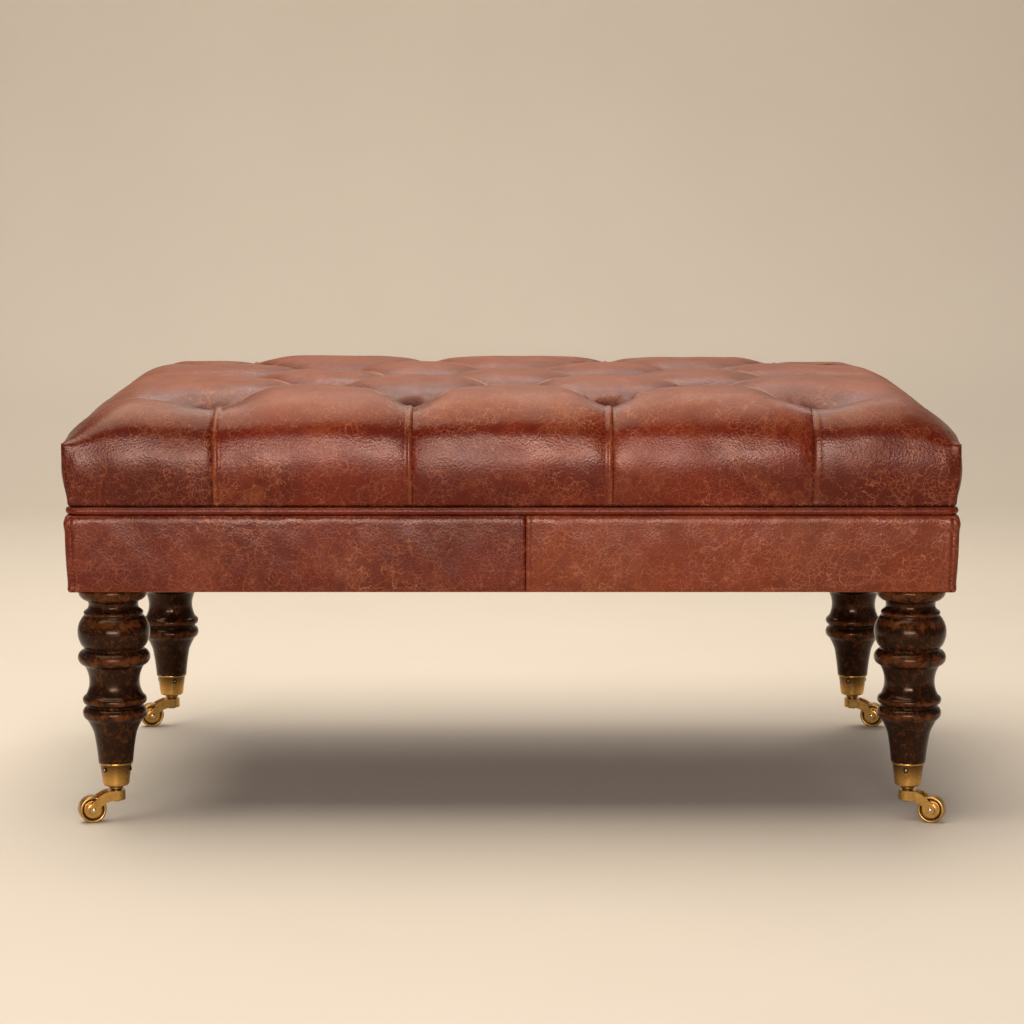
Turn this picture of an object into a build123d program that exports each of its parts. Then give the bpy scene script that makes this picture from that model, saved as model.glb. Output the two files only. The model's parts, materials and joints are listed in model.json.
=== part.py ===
from build123d import *
import math
import os

os.makedirs("parts", exist_ok=True)

# Leather ottoman on turned legs with brass castors, in millimetres.
# X runs along its length, the front faces -Y, and Z is the height above the floor.
# The origin lies on the floor under the centre.

# Apron, the upright leather band under the cushion
apron_length = 902.0
apron_depth = 598.0
apron_height = 79.0
leather_thickness = 2.0
turn_under = 30.0
turn_over = 20.0
front_seam_offset = 13.7

# Wooden frame inside the apron
rail_thickness = 22.0
cross_rail_thickness = 22.0
cross_rail_height = 50.0
corner_block_side = 64.0
corner_block_height = 50.0
corner_block_bevel = 24.0
dowel_radius = 4.0
dowel_length = 44.0
dowel_rail_depth = 14.0
dowel_spacing = 38.0
board_thickness = 12.0
board_inset = 8.0

# Screws of the frame
screw_radius = 2.0
screw_head_radius = 4.0
screw_head_thickness = 2.5
corner_screw_offset = 33.0
corner_screw_stagger = 16.0
corner_screw_bite = 12.0
block_screw_offset = 46.0
block_screw_inset = 12.0
block_screw_recess = 15.0
board_screw_bite = 8.0
cross_rail_screw_spacing = 300.0

# Cloth under the frame and its staples
dust_cover_thickness = 1.0
dust_cover_inset = 18.0
dust_cover_leg_gap = 1.5
staple_length = 10.0
staple_width = 1.2
staple_thickness = 0.8
staple_margin = 4.0
staple_pitch = 62.0

# Piping between the apron and the cushion
welt_radius = 4.0
welt_inset = 1.5
welt_corner_radius = 9.0
welt_tape_width = 20.0
welt_tape_thickness = 1.2
welt_lift = 0.3

# Cushion border and crown
cushion_overhang = 6.0
rim_inset = 1.0
bulge_height = 43.0
border_height = 70.0
corner_lean = 3.5
shoulder_depth = 65.0
crest_height = 119.0
crown_rise = 5.5
end_crown_rise = 8.0

# Tufts: buttons stand on a staggered grid, four in a long row and three in a short one
button_column_pitch = 103.5
button_row_pitch = 102.5
outer_row = 2
outer_column = 3
tuft_depth = 42.0
tuft_floor_radius = 12.0
funnel_radius = 56.0
funnel_waist_radius = 28.0
funnel_waist_lift = 25.0
fold_depth = 16.0
fold_half_width = 45.0
fold_bulge = 3.0
border_fold_start_lift = 14.0
border_fold_end_drop = 12.0
border_fold_half_width = 56.0
border_fold_bulge = 6.0
border_pleat_depth = 4.0
border_pleat_half_width = 4.0
button_radius = 11.0
button_edge = 2.0
button_dome = 4.0
button_dome_taper = 52.0
twine_radius = 1.0
twine_hole_radius = 3.0
toggle_length = 20.0
toggle_width = 8.0
toggle_thickness = 4.0
foam_height = 62.0
foam_inset = 16.0
wadding_thickness = 6.0

# Turned legs
leg_inset = 40.5
leg_turned_height = 182.0
leg_widest_radius = 37.2
leg_collar_radius = 36.0
leg_bolt_radius = 4.0
leg_bolt_depth = 45.0
leg_bolt_tail = 6.0
nut_side = 22.0
nut_thickness = 5.0

# Castors: cup, washer, horn, axle and wheel
cup_height = 25.5
cup_rim_radius = 17.9
cup_rim_height = 2.6
cup_top_radius = 16.9
cup_foot_radius = 13.6
cup_foot_bevel = 4.0
cup_wall = 1.4
cup_floor = 3.0
cup_screw_drop = 7.5
cup_screw_radius = 1.25
cup_screw_length = 8.0
cup_screw_head_radius = 2.6
cup_screw_head_height = 1.2
cup_screw_head_taper = 30.0
cup_screws_per_leg = 3
washer_radius = 7.4
washer_height = 4.7
pintle_radius = 3.0
pintle_end_radius = 4.2
pintle_end_height = 1.6
boss_height = 10.0
boss_lift = 8.5
castor_trail = 25.5
castor_rest_angle = 20.0
horn_arm_thickness = 2.4
horn_end_radius = 4.4
axle_radius = 1.6
axle_end_height = 0.9
wheel_radius = 14.0
wheel_width = 12.8
wheel_rim_thickness = 2.8
wheel_dish_depth = 2.2
wheel_hub_radius = 3.6
wheel_hub_inset = 0.3

# Sides of round pieces: small fasteners and hidden bars, the piping's section, buttons, legs and cups
fastener_sides = 6
piping_sides = 8
button_sides = 12
leg_sides = 16

# Clearances
running_fit = 0.08
close_fit = 0.05
swivel_gap = 0.3
wheel_side_gap = 0.5
cup_fit = 0.15
soft_gap = 0.3
overrun = 1.0

# Heights worked up from the floor
axle_height = wheel_radius
boss_bottom = axle_height + boss_lift
boss_top = boss_bottom + boss_height
washer_bottom = boss_top + swivel_gap
cup_bottom = washer_bottom + washer_height
cup_rim = cup_bottom + cup_height
apron_bottom = cup_rim + leg_turned_height
rail_bottom = apron_bottom + leather_thickness
apron_top = apron_bottom + apron_height
rail_top = apron_top - leather_thickness
board_bottom = apron_top + welt_tape_thickness
board_top = board_bottom + board_thickness
welt_centre = apron_top + welt_lift + welt_radius
cushion_bottom = welt_centre + welt_radius + soft_gap
bulge_level = cushion_bottom + bulge_height
border_top = cushion_bottom + border_height
crest_level = cushion_bottom + crest_height
crown_level = crest_level + crown_rise
tuft_floor = crown_level - tuft_depth
fold_floor = crown_level - fold_depth
fold_cut_height = 2 * tuft_depth
foam_top = board_top + foam_height
wadding_top = foam_top + wadding_thickness
block_top = rail_bottom + corner_block_height

# Plan sizes
half_length = apron_length / 2
half_depth = apron_depth / 2
rail_outer_x = half_length - leather_thickness
rail_outer_y = half_depth - leather_thickness
rail_inner_x = rail_outer_x - rail_thickness
rail_inner_y = rail_outer_y - rail_thickness
leg_x = half_length - leg_inset
leg_y = half_depth - leg_inset
boss_radius = wheel_width / 2 + wheel_side_gap + horn_arm_thickness
up = Vector(0, 0, 1)

# Each corner's name, the sides that it is on, and the turn of its cup's screws in degrees
corners = {
    "front_left": (-1, -1, 232.0),
    "front_right": (1, -1, 255.0),
    "back_left": (-1, 1, 290.0),
    "back_right": (1, 1, 245.0),
}

# Grid cells that hold a button: column and row counted from the centre
button_cells = [
    (column, row)
    for row in range(-outer_row, outer_row + 1)
    for column in range(-outer_column, outer_column + 1)
    if (column + row) % 2 == 1
]


def cell_point(cell, height=0.0):
    column, row = cell
    return Vector(column * button_column_pitch, row * button_row_pitch, height)


button_points = [cell_point(cell) for cell in button_cells]


def bulged(start, end, bulge):
    """The point that stands off the middle of a chord to the left by the bulge."""
    run, rise = end[0] - start[0], end[1] - start[1]
    chord = math.hypot(run, rise)
    middle_x = (start[0] + end[0]) / 2 - rise / chord * bulge
    middle_y = (start[1] + end[1]) / 2 + run / chord * bulge
    return (middle_x, middle_y)


def write(piece, name):
    """Labels one sub-part and writes its file."""
    piece.label = name
    export_step(piece, f"parts/{name}.step")


def box_between(low, high, mode=Mode.ADD):
    """A box from its lowest corner to its highest one."""
    low, high = Vector(low), Vector(high)
    size = high - low
    with Locations((low + high) / 2):
        Box(size.X, size.Y, size.Z, mode=mode)


def upright_cylinder(point, bottom, top, radius, mode=Mode.ADD):
    """A cylinder about a vertical axis, between two heights."""
    with Locations((*point, (bottom + top) / 2)):
        Cylinder(radius, top - bottom, mode=mode)


def upright_bar(point, bottom, top, radius, mode=Mode.ADD):
    """A bar with a few flat sides about a vertical axis, for small round pieces out of sight."""
    with BuildSketch(Plane.XY.offset(bottom)) as section:
        with Locations(point):
            RegularPolygon(radius, fastener_sides)
    extrude(section.sketch, amount=top - bottom, mode=mode)


def many_sided(outline, sides, mode=Mode.ADD):
    """A turned form about the Z axis with flat sides, through (radius, height) pairs."""
    rings = []
    for radius, height in outline:
        turns = [2 * math.pi * count / sides for count in range(sides)]
        rings.append([Vector(radius * math.cos(turn), radius * math.sin(turn), height) for turn in turns])
    faces = [Face(Wire.make_polygon(ring)) for ring in (rings[0], rings[-1])]
    for ring, beside in zip(rings, rings[1:]):
        for count in range(sides):
            corner_points = [ring[count - 1], ring[count], beside[count], beside[count - 1]]
            faces.append(Face(Wire.make_polygon(corner_points)))
    add(Solid(Shell(faces)), mode=mode)


# Wooden frame


def rail_face(side):
    """The plane of a long rail's inner face, facing the rail."""
    return Plane(origin=(0, side * rail_inner_y, 0), z_dir=(0, side, 0))


def dowel_sections(side, radius):
    """The fluted dowels' sections, two at each end of a long rail."""
    face = rail_face(side)
    middle = (rail_bottom + rail_top) / 2
    dowel_x = rail_outer_x - rail_thickness / 2
    for end in (-1, 1):
        for step in (-1, 1):
            centre = Vector(end * dowel_x, side * rail_inner_y, middle + step * dowel_spacing / 2)
            local = face.to_local_coords(centre)
            with Locations((local.X, local.Y)):
                RegularPolygon(radius, fastener_sides)


for name, side in (("front_rail", -1), ("back_rail", 1)):
    with BuildPart() as rail:
        near, far = sorted((side * rail_inner_y, side * rail_outer_y))
        box_between((-rail_outer_x, near, rail_bottom), (rail_outer_x, far, rail_top))
        with BuildSketch(rail_face(side)):
            dowel_sections(side, dowel_radius + close_fit)
        extrude(amount=dowel_rail_depth, mode=Mode.SUBTRACT)
    write(rail.part, name)

for name, end in (("left_end_rail", -1), ("right_end_rail", 1)):
    with BuildPart() as rail:
        near, far = sorted((end * rail_inner_x, end * rail_outer_x))
        box_between((near, -rail_inner_y, rail_bottom), (far, rail_inner_y, rail_top))
        for side in (-1, 1):
            with BuildSketch(rail_face(side)):
                dowel_sections(side, dowel_radius + close_fit)
            extrude(amount=dowel_rail_depth - dowel_length, mode=Mode.SUBTRACT)
    write(rail.part, name)

with BuildPart() as dowels:
    for side in (-1, 1):
        with BuildSketch(rail_face(side).offset(dowel_rail_depth)):
            dowel_sections(side, dowel_radius)
        extrude(amount=-dowel_length)
write(dowels.part, "rail_dowels")

# The cross rails stand between the button columns and are notched at the ends for the piping's tape
cross_rail_x = button_column_pitch * outer_column / 2
cross_rail_bottom = board_bottom - cross_rail_height
taped_margin = max(turn_over, welt_inset + welt_tape_width, half_depth - rail_inner_y)
cross_rail_reach = half_depth - taped_margin - soft_gap
for name, end in (("left_cross_rail", -1), ("right_cross_rail", 1)):
    with BuildPart() as cross_rail:
        left = end * cross_rail_x - cross_rail_thickness / 2
        right = end * cross_rail_x + cross_rail_thickness / 2
        box_between((left, -rail_inner_y, cross_rail_bottom), (right, rail_inner_y, rail_top))
        box_between((left, -cross_rail_reach, rail_top), (right, cross_rail_reach, board_bottom))
    write(cross_rail.part, name)


def block_screw_point(end, side):
    """Where the screw from a corner block up into the board stands."""
    return (end * (rail_inner_x - block_screw_offset), side * (rail_inner_y - block_screw_inset))


# A block in each corner carries the leg's bolt
for name, (end, side, _) in corners.items():
    with BuildPart() as block:
        with BuildSketch(Plane.XY.offset(rail_bottom)):
            with BuildLine():
                corner_x, corner_y = end * rail_inner_x, side * rail_inner_y
                far_x = corner_x - end * corner_block_side
                far_y = corner_y - side * corner_block_side
                Polyline(
                    (corner_x, corner_y),
                    (far_x, corner_y),
                    (far_x, far_y + side * corner_block_bevel),
                    (far_x + end * corner_block_bevel, far_y),
                    (corner_x, far_y),
                    close=True,
                )
            make_face()
        extrude(amount=corner_block_height)
        bolt = (end * leg_x, side * leg_y)
        bolt_hole = leg_bolt_radius + close_fit
        head_hole = screw_head_radius + close_fit
        upright_bar(bolt, rail_bottom, block_top, bolt_hole, Mode.SUBTRACT)
        recess_top = rail_bottom + block_screw_recess
        upright_bar(block_screw_point(end, side), rail_bottom, recess_top, head_hole, Mode.SUBTRACT)
    write(block.part, f"{name}_corner_block")

leg_points = [(end * leg_x, side * leg_y) for end, side, _ in corners.values()]
with BuildPart() as leg_nuts:
    with BuildSketch(Plane.XY.offset(block_top)):
        with Locations(*leg_points):
            Rectangle(nut_side, nut_side)
            RegularPolygon(leg_bolt_radius + close_fit, fastener_sides, mode=Mode.SUBTRACT)
    extrude(amount=nut_thickness)
write(leg_nuts.part, "leg_nuts")

with BuildPart() as leg_bolts:
    leg_bolt_bottom = apron_bottom - leg_bolt_depth
    leg_bolt_top = block_top + nut_thickness + leg_bolt_tail
    for point in leg_points:
        upright_bar(point, leg_bolt_bottom, leg_bolt_top, leg_bolt_radius)
write(leg_bolts.part, "leg_bolts")

# Wood screws from each corner block into both of its rails, one above the other
with BuildPart() as corner_screws:
    screw_level = (rail_bottom + block_top) / 2
    for end, side, _ in corners.values():
        inner_corner = Vector(end * rail_inner_x, side * rail_inner_y, screw_level)
        into_end, into_side = Vector(end, 0, 0), Vector(0, side, 0)
        for toward, across, step in ((into_end, into_side, 1), (into_side, into_end, -1)):
            seat = inner_corner - toward * corner_block_side - across * corner_screw_offset
            seat = seat + up * (step * corner_screw_stagger / 2)
            with BuildSketch(Plane(origin=seat, z_dir=toward)):
                RegularPolygon(screw_head_radius, fastener_sides)
            extrude(amount=-screw_head_thickness)
            with BuildSketch(Plane(origin=seat, z_dir=toward)):
                RegularPolygon(screw_radius, fastener_sides)
            extrude(amount=corner_block_side + corner_screw_bite)
write(corner_screws.part, "corner_screws")

# Wood screws that hold the board down, from the corner blocks and the cross rails
with BuildPart() as board_screws:
    screw_tip = board_bottom + board_screw_bite
    seats = []
    for end, side, _ in corners.values():
        seats.append((block_screw_point(end, side), rail_bottom + block_screw_recess))
    for end in (-1, 1):
        for side in (-1, 1):
            point = (end * cross_rail_x, side * cross_rail_screw_spacing / 2)
            seats.append((point, cross_rail_bottom))
    for point, seat_level in seats:
        upright_bar(point, seat_level - screw_head_thickness, seat_level, screw_head_radius)
        upright_bar(point, seat_level, screw_tip, screw_radius)
write(board_screws.part, "board_screws")

# Leather apron, sewn from panels with mitred corners


def side_plane(out, along=0.0):
    """An upright plane across a side: its X points outward, its Y up and its Z along the side."""
    normal = out.cross(up)
    return Plane(origin=normal * along, x_dir=out, z_dir=normal)


def apron_panel(name, out, start, end):
    """A strip of the apron, turned under the rail and over its top, from start to end along its side."""
    reach = abs(out.X) * half_length + abs(out.Y) * half_depth
    span = abs(out.Y) * half_length + abs(out.X) * half_depth
    with BuildPart() as panel:
        with BuildSketch(side_plane(out, start)):
            with BuildLine():
                Polyline(
                    (reach, apron_bottom),
                    (reach, apron_top),
                    (reach - turn_over, apron_top),
                    (reach - turn_over, rail_top),
                    (reach - leather_thickness, rail_top),
                    (reach - leather_thickness, rail_bottom),
                    (reach - turn_under, rail_bottom),
                    (reach - turn_under, apron_bottom),
                    close=True,
                )
            make_face()
        extrude(amount=end - start)
        for tip in (start, end):
            if abs(tip) == span:
                beyond = out.cross(up) * math.copysign(1, tip)
                corner = out * reach + beyond * span
                split(bisect_by=Plane(origin=corner, z_dir=beyond - out), keep=Keep.BOTTOM)
    write(panel.part, name)


front, back = Vector(0, -1, 0), Vector(0, 1, 0)
left_end, right_end = Vector(-1, 0, 0), Vector(1, 0, 0)
apron_panel("apron_front_left", front, -front_seam_offset, half_length)
apron_panel("apron_front_right", front, -half_length, -front_seam_offset)
apron_panel("apron_back_left", back, -half_length, front_seam_offset)
apron_panel("apron_back_right", back, front_seam_offset, half_length)
apron_panel("apron_left_end", left_end, -half_depth, half_depth)
apron_panel("apron_right_end", right_end, -half_depth, half_depth)

# Black cloth under the frame, cut round the legs, and the staples that hold it
dust_cover_bottom = apron_bottom - dust_cover_thickness
leg_cut = leg_collar_radius + dust_cover_leg_gap
with BuildPart() as dust_cover:
    with BuildSketch(Plane.XY.offset(dust_cover_bottom)):
        Rectangle(apron_length - 2 * dust_cover_inset, apron_depth - 2 * dust_cover_inset)
        with Locations(*leg_points):
            Circle(leg_cut, mode=Mode.SUBTRACT)
    extrude(amount=dust_cover_thickness)
write(dust_cover.part, "dust_cover")

with BuildPart() as staples:
    staple_inset = dust_cover_inset + staple_margin
    row_x, row_y = half_length - staple_inset, half_depth - staple_inset
    free_x = 2 * (leg_x - leg_cut - staple_length)
    free_y = 2 * (leg_y - leg_cut - staple_length)
    count_x = int(free_x // staple_pitch) + 1
    count_y = int(free_y // staple_pitch) + 1
    with BuildSketch(Plane.XY.offset(dust_cover_bottom)):
        with GridLocations(staple_pitch, 2 * row_y, count_x, 2):
            Rectangle(staple_length, staple_width)
        with GridLocations(2 * row_x, staple_pitch, 2, count_y):
            Rectangle(staple_width, staple_length)
    extrude(amount=-staple_thickness)
write(staples.part, "dust_cover_staples")

# Piping: a leather-covered cord all round, with the tape that holds it
rope_x, rope_y = half_length - welt_inset, half_depth - welt_inset
with BuildSketch(Plane.XY.offset(welt_centre)) as rope_frame:
    RectangleRounded(2 * rope_x, 2 * rope_y, welt_corner_radius)
rope_line = rope_frame.sketch.wire()
with BuildPart() as welt:
    with BuildSketch(Plane(origin=rope_line @ 0, z_dir=rope_line % 0)):
        RegularPolygon(welt_radius, piping_sides)
    sweep(path=rope_line)
    with BuildSketch(Plane.XY.offset(apron_top)):
        RectangleRounded(2 * rope_x, 2 * rope_y, welt_corner_radius)
        Rectangle(2 * (rope_x - welt_tape_width), 2 * (rope_y - welt_tape_width), mode=Mode.SUBTRACT)
    extrude(amount=welt_tape_thickness)
write(welt.part, "welt_piping")

# Board under the cushion, drilled for the twine
board_x, board_y = half_length - board_inset, half_depth - board_inset
with BuildPart() as board:
    box_between((-board_x, -board_y, board_bottom), (board_x, board_y, board_top))
    with BuildSketch(Plane.XY.offset(board_bottom)):
        with Locations(*[(point.X, point.Y) for point in button_points]):
            RegularPolygon(twine_hole_radius, fastener_sides)
    extrude(amount=board_thickness, mode=Mode.SUBTRACT)
write(board.part, "base_board")

foam_x, foam_y = half_length - foam_inset, half_depth - foam_inset
with BuildPart() as foam:
    box_between((-foam_x, -foam_y, board_top), (foam_x, foam_y, foam_top))
write(foam.part, "foam_pad")

with BuildPart() as wadding:
    box_between((-foam_x, -foam_y, foam_top), (foam_x, foam_y, wadding_top))
write(wadding.part, "wadding")

# Tufted leather cover


def border_arcs(reach, cut=0.0):
    """Draws a border from its rim over the bulge to the crest, cut back by some depth."""
    rim = (reach - rim_inset - cut, cushion_bottom)
    bulge = (reach + cushion_overhang - cut, bulge_level)
    top = (reach + corner_lean - cut, border_top)
    crest = (reach - shoulder_depth, crest_level - cut)
    face_arc = ThreePointArc(rim, bulge, top)
    TangentArc(top, crest, tangent=face_arc % 1)


def cushion_block(out, reach, span, rise):
    """One border profile with a crown of some rise, drawn across the cushion and run along it."""
    crest = (reach - shoulder_depth, crest_level)
    rim = (reach - rim_inset, cushion_bottom)
    with BuildPart() as block:
        with BuildSketch(side_plane(out)):
            with BuildLine():
                border_arcs(reach)
                mirror(about=Plane.YZ)
                ThreePointArc(crest, (0, crest_level + rise), (-crest[0], crest[1]))
                Line((-rim[0], rim[1]), rim)
            make_face()
        extrude(amount=span + cushion_overhang + overrun, both=True)
    return block.part


def cusp_cutter(plane, length, half_width, depth, bulge):
    """Cuts a fold along a plane's Z, open above, with its floor at the plane's origin."""
    edge = (half_width, depth + overrun)
    top = (half_width, fold_cut_height)
    with BuildSketch(plane) as outline:
        with BuildLine():
            Polyline((0, 0), bulged((0, 0), edge, bulge), edge, top, (0, top[1]))
            mirror(about=Plane.YZ)
        make_face()
    extrude(outline.sketch, amount=length, mode=Mode.SUBTRACT)


def fold_plane(start, toward):
    """The plane across a fold that runs from start, with its Y as near to upright as it can be."""
    return Plane(origin=start, x_dir=up.cross(toward), z_dir=toward)


def diagonal_folds(lean):
    """The first and last buttons of each diagonal row of two or more, leaning one way."""
    rows = {}
    for column, row in button_cells:
        rows.setdefault(column - lean * row, []).append((column, row))
    return [(cells[0], cells[-1]) for cells in rows.values() if len(cells) > 1]


def border_folds():
    """Each border fold's button, its outward direction and the distance from the centre to its side."""
    folds = []
    for column, row in button_cells:
        if abs(row) == outer_row:
            folds.append(((column, row), Vector(0, math.copysign(1, row), 0), half_depth))
        if abs(column) == outer_column:
            folds.append(((column, row), Vector(math.copysign(1, column), 0, 0), half_length))
    return folds


# The funnel that every button pulls down
with BuildPart() as funnel_cutter:
    foot = (tuft_floor_radius, tuft_floor)
    waist = (funnel_waist_radius, tuft_floor + funnel_waist_lift)
    lip = (funnel_radius, crown_level + overrun)
    many_sided([foot, waist, lip], button_sides)

with BuildPart() as cover:
    add(cushion_block(front, half_depth, half_length, crown_rise))
    add(cushion_block(right_end, half_length, half_depth, end_crown_rise), mode=Mode.INTERSECT)
    # Folds between neighbouring buttons
    for lean in (1, -1):
        for first, last in diagonal_folds(lean):
            start, stop = cell_point(first, fold_floor), cell_point(last, fold_floor)
            run = stop - start
            plane = fold_plane(start, run.normalized())
            cusp_cutter(plane, run.length, fold_half_width, fold_depth, fold_bulge)
    # Folds from the outer buttons over the shoulder, and the pleat that each one runs into
    for cell, out, reach in border_folds():
        start = cell_point(cell, tuft_floor + border_fold_start_lift)
        distance = reach - abs(start.dot(out))
        rise = crest_level - border_fold_end_drop - start.Z
        toward = (out * distance + up * rise).normalized()
        depth = crown_level - start.Z
        length = math.hypot(distance + cushion_overhang, rise)
        cusp_cutter(fold_plane(start, toward), length, border_fold_half_width, depth, border_fold_bulge)
        with BuildLine(side_plane(out, start.dot(out.cross(up)))) as pleat:
            border_arcs(reach, border_pleat_depth)
        path = pleat.wire()
        with BuildSketch(Plane(origin=path @ 0, x_dir=out.cross(up), z_dir=path % 0)):
            with BuildLine():
                mouth = border_pleat_depth + cushion_overhang
                flare = border_pleat_half_width * mouth / border_pleat_depth
                Polyline((0, 0), (flare, mouth), (-flare, mouth), close=True)
            make_face()
        sweep(path=path, mode=Mode.SUBTRACT)
    with Locations(*button_points):
        add(funnel_cutter.part, mode=Mode.SUBTRACT)
    # Room for the board, the foam and the wadding
    board_pocket = Vector(board_x + soft_gap, board_y + soft_gap, 0)
    pocket_bottom = up * (cushion_bottom - overrun)
    box_between(pocket_bottom - board_pocket, board_pocket + up * board_top, Mode.SUBTRACT)
    foam_pocket = Vector(foam_x + soft_gap, foam_y + soft_gap, 0)
    pocket_top = up * (wadding_top + soft_gap)
    box_between(pocket_bottom - foam_pocket, foam_pocket + pocket_top, Mode.SUBTRACT)
write(cover.part, "tufted_cover")

# Covered buttons in the tufts, the twine that holds them and the toggles under the board
with BuildPart() as buttons:
    with BuildSketch(Plane.XY.offset(tuft_floor)):
        with Locations(*[(point.X, point.Y) for point in button_points]):
            RegularPolygon(button_radius, button_sides)
    extrude(amount=button_edge)
    with BuildSketch(Plane.XY.offset(tuft_floor + button_edge)):
        with Locations(*[(point.X, point.Y) for point in button_points]):
            RegularPolygon(button_radius, button_sides)
    extrude(amount=button_dome, taper=button_dome_taper)
write(buttons.part, "cover_buttons")

with BuildPart() as twine:
    for point in button_points:
        upright_bar((point.X, point.Y), board_bottom, tuft_floor, twine_radius)
write(twine.part, "button_twine")

with BuildPart() as toggles:
    with BuildSketch(Plane.XY.offset(board_bottom)):
        with Locations(*[(point.X, point.Y) for point in button_points]):
            Rectangle(toggle_width, toggle_length)
    extrude(amount=-toggle_thickness)
write(toggles.part, "twine_toggles")


# Turned legs


def cup_body_radius(height):
    """The outer radius of a castor cup's tapered body."""
    foot, top = cup_bottom + cup_foot_bevel, cup_rim
    share = (height - foot) / (top - foot)
    return cup_foot_radius + share * (cup_top_radius - cup_foot_radius)


def cup_inner_radius(height):
    return cup_body_radius(height) - cup_wall


# The outline of the turning from the collar down, in straight cuts that keep the four legs light.
# Each point is a share of the turned height above the cup and a share of the widest radius.
leg_outline_shares = [
    # Collar, cove and neck
    (0.976, 0.968),
    (0.945, 0.900),
    (0.922, 0.715),
    (0.885, 0.700),
    # Bead over the ball
    (0.866, 0.808),
    (0.844, 0.808),
    # Ball
    (0.802, 0.955),
    (0.747, 1.000),
    (0.692, 0.960),
    (0.650, 0.823),
    # Ring under the ball
    (0.623, 0.975),
    (0.579, 0.975),
    (0.550, 0.808),
    # Waist
    (0.500, 0.706),
    (0.425, 0.712),
    (0.382, 0.812),
    # Two beads and the groove between them
    (0.355, 0.887),
    (0.323, 0.780),
    (0.284, 0.890),
    (0.243, 0.780),
    # Hollow and taper
    (0.200, 0.662),
    (0.160, 0.582),
]
peg_bottom = cup_bottom + cup_floor + swivel_gap
peg_top_radius = cup_inner_radius(cup_rim) - cup_fit
peg_foot_radius = cup_inner_radius(peg_bottom) - cup_fit

with BuildPart() as turning:
    outline = [
        (share * leg_widest_radius, cup_rim + height_share * leg_turned_height)
        for height_share, share in leg_outline_shares
    ]
    many_sided([(leg_collar_radius, apron_bottom), *outline, (cup_rim_radius, cup_rim)], leg_sides)
    many_sided([(peg_top_radius, cup_rim), (peg_foot_radius, peg_bottom)], leg_sides)

with BuildPart() as legs:
    with Locations(*leg_points):
        add(turning.part)
write(legs.part, "turned_legs")

# Castors

cup_floor_top = cup_bottom + cup_floor
cup_screw_level = cup_rim - cup_screw_drop
cup_screw_seat = cup_body_radius(cup_screw_level + cup_screw_head_radius)
screw_step = 360 / cup_screws_per_leg


def cup_screw_planes(end, side, turn):
    """A plane at each screw of one cup, facing outward, with its origin on the leg's axis."""
    planes = []
    for count in range(cup_screws_per_leg):
        angle = math.radians(turn + count * screw_step)
        outward = (math.cos(angle), math.sin(angle), 0)
        planes.append(Plane(origin=(end * leg_x, side * leg_y, cup_screw_level), z_dir=outward))
    return planes


with BuildPart() as cup:
    band_foot = cup_rim - cup_rim_height
    cup_outline = [
        (cup_foot_radius - cup_foot_bevel, cup_bottom),
        (cup_foot_radius, cup_bottom + cup_foot_bevel),
        (cup_body_radius(band_foot), band_foot),
        (cup_rim_radius, band_foot),
        (cup_rim_radius, cup_rim),
    ]
    many_sided(cup_outline, leg_sides)
    hollow_top = (cup_inner_radius(cup_rim), cup_rim)
    many_sided([(cup_inner_radius(cup_floor_top), cup_floor_top), hollow_top], leg_sides, Mode.SUBTRACT)
    upright_cylinder((0, 0), cup_bottom, cup_floor_top, pintle_radius, Mode.SUBTRACT)

with BuildPart() as cups:
    with Locations(*leg_points):
        add(cup.part)
write(cups.part, "castor_cups")

with BuildPart() as cup_screws:
    for end, side, turn in corners.values():
        for plane in cup_screw_planes(end, side, turn):
            with BuildSketch(plane.offset(cup_screw_seat)):
                RegularPolygon(cup_screw_radius, fastener_sides)
            extrude(amount=-cup_screw_length)
            with BuildSketch(plane.offset(cup_screw_seat)):
                RegularPolygon(cup_screw_head_radius, button_sides)
            extrude(amount=cup_screw_head_height, taper=cup_screw_head_taper)
write(cup_screws.part, "cup_screws")

with BuildPart() as washers:
    for point in leg_points:
        upright_cylinder(point, washer_bottom, cup_bottom, washer_radius)
        upright_cylinder(point, washer_bottom, cup_bottom, pintle_radius, Mode.SUBTRACT)
write(washers.part, "castor_washers")

with BuildPart() as pintles:
    end_top = boss_bottom - swivel_gap
    for point in leg_points:
        upright_cylinder(point, end_top, cup_floor_top, pintle_radius)
        upright_cylinder(point, end_top - pintle_end_height, end_top, pintle_end_radius)
write(pintles.part, "castor_pintles")

# The horn's arm in side view: shares of the trail, and of the rise from the axle to the boss's top
arm_rise = boss_top - axle_height
arm_top_start_share = 0.22
arm_top_middle_shares = (0.73, 0.76)
arm_foot_start_share = 0.24
arm_foot_middle_shares = (0.60, 0.27)
arm_top_end_angle = 15.0
arm_foot_end_angle = 207.0


def on_arm_end(angle):
    """A point on the rounded end of the arm, about the axle."""
    x = castor_trail + horn_end_radius * math.cos(math.radians(angle))
    return (x, axle_height + horn_end_radius * math.sin(math.radians(angle)))


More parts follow.
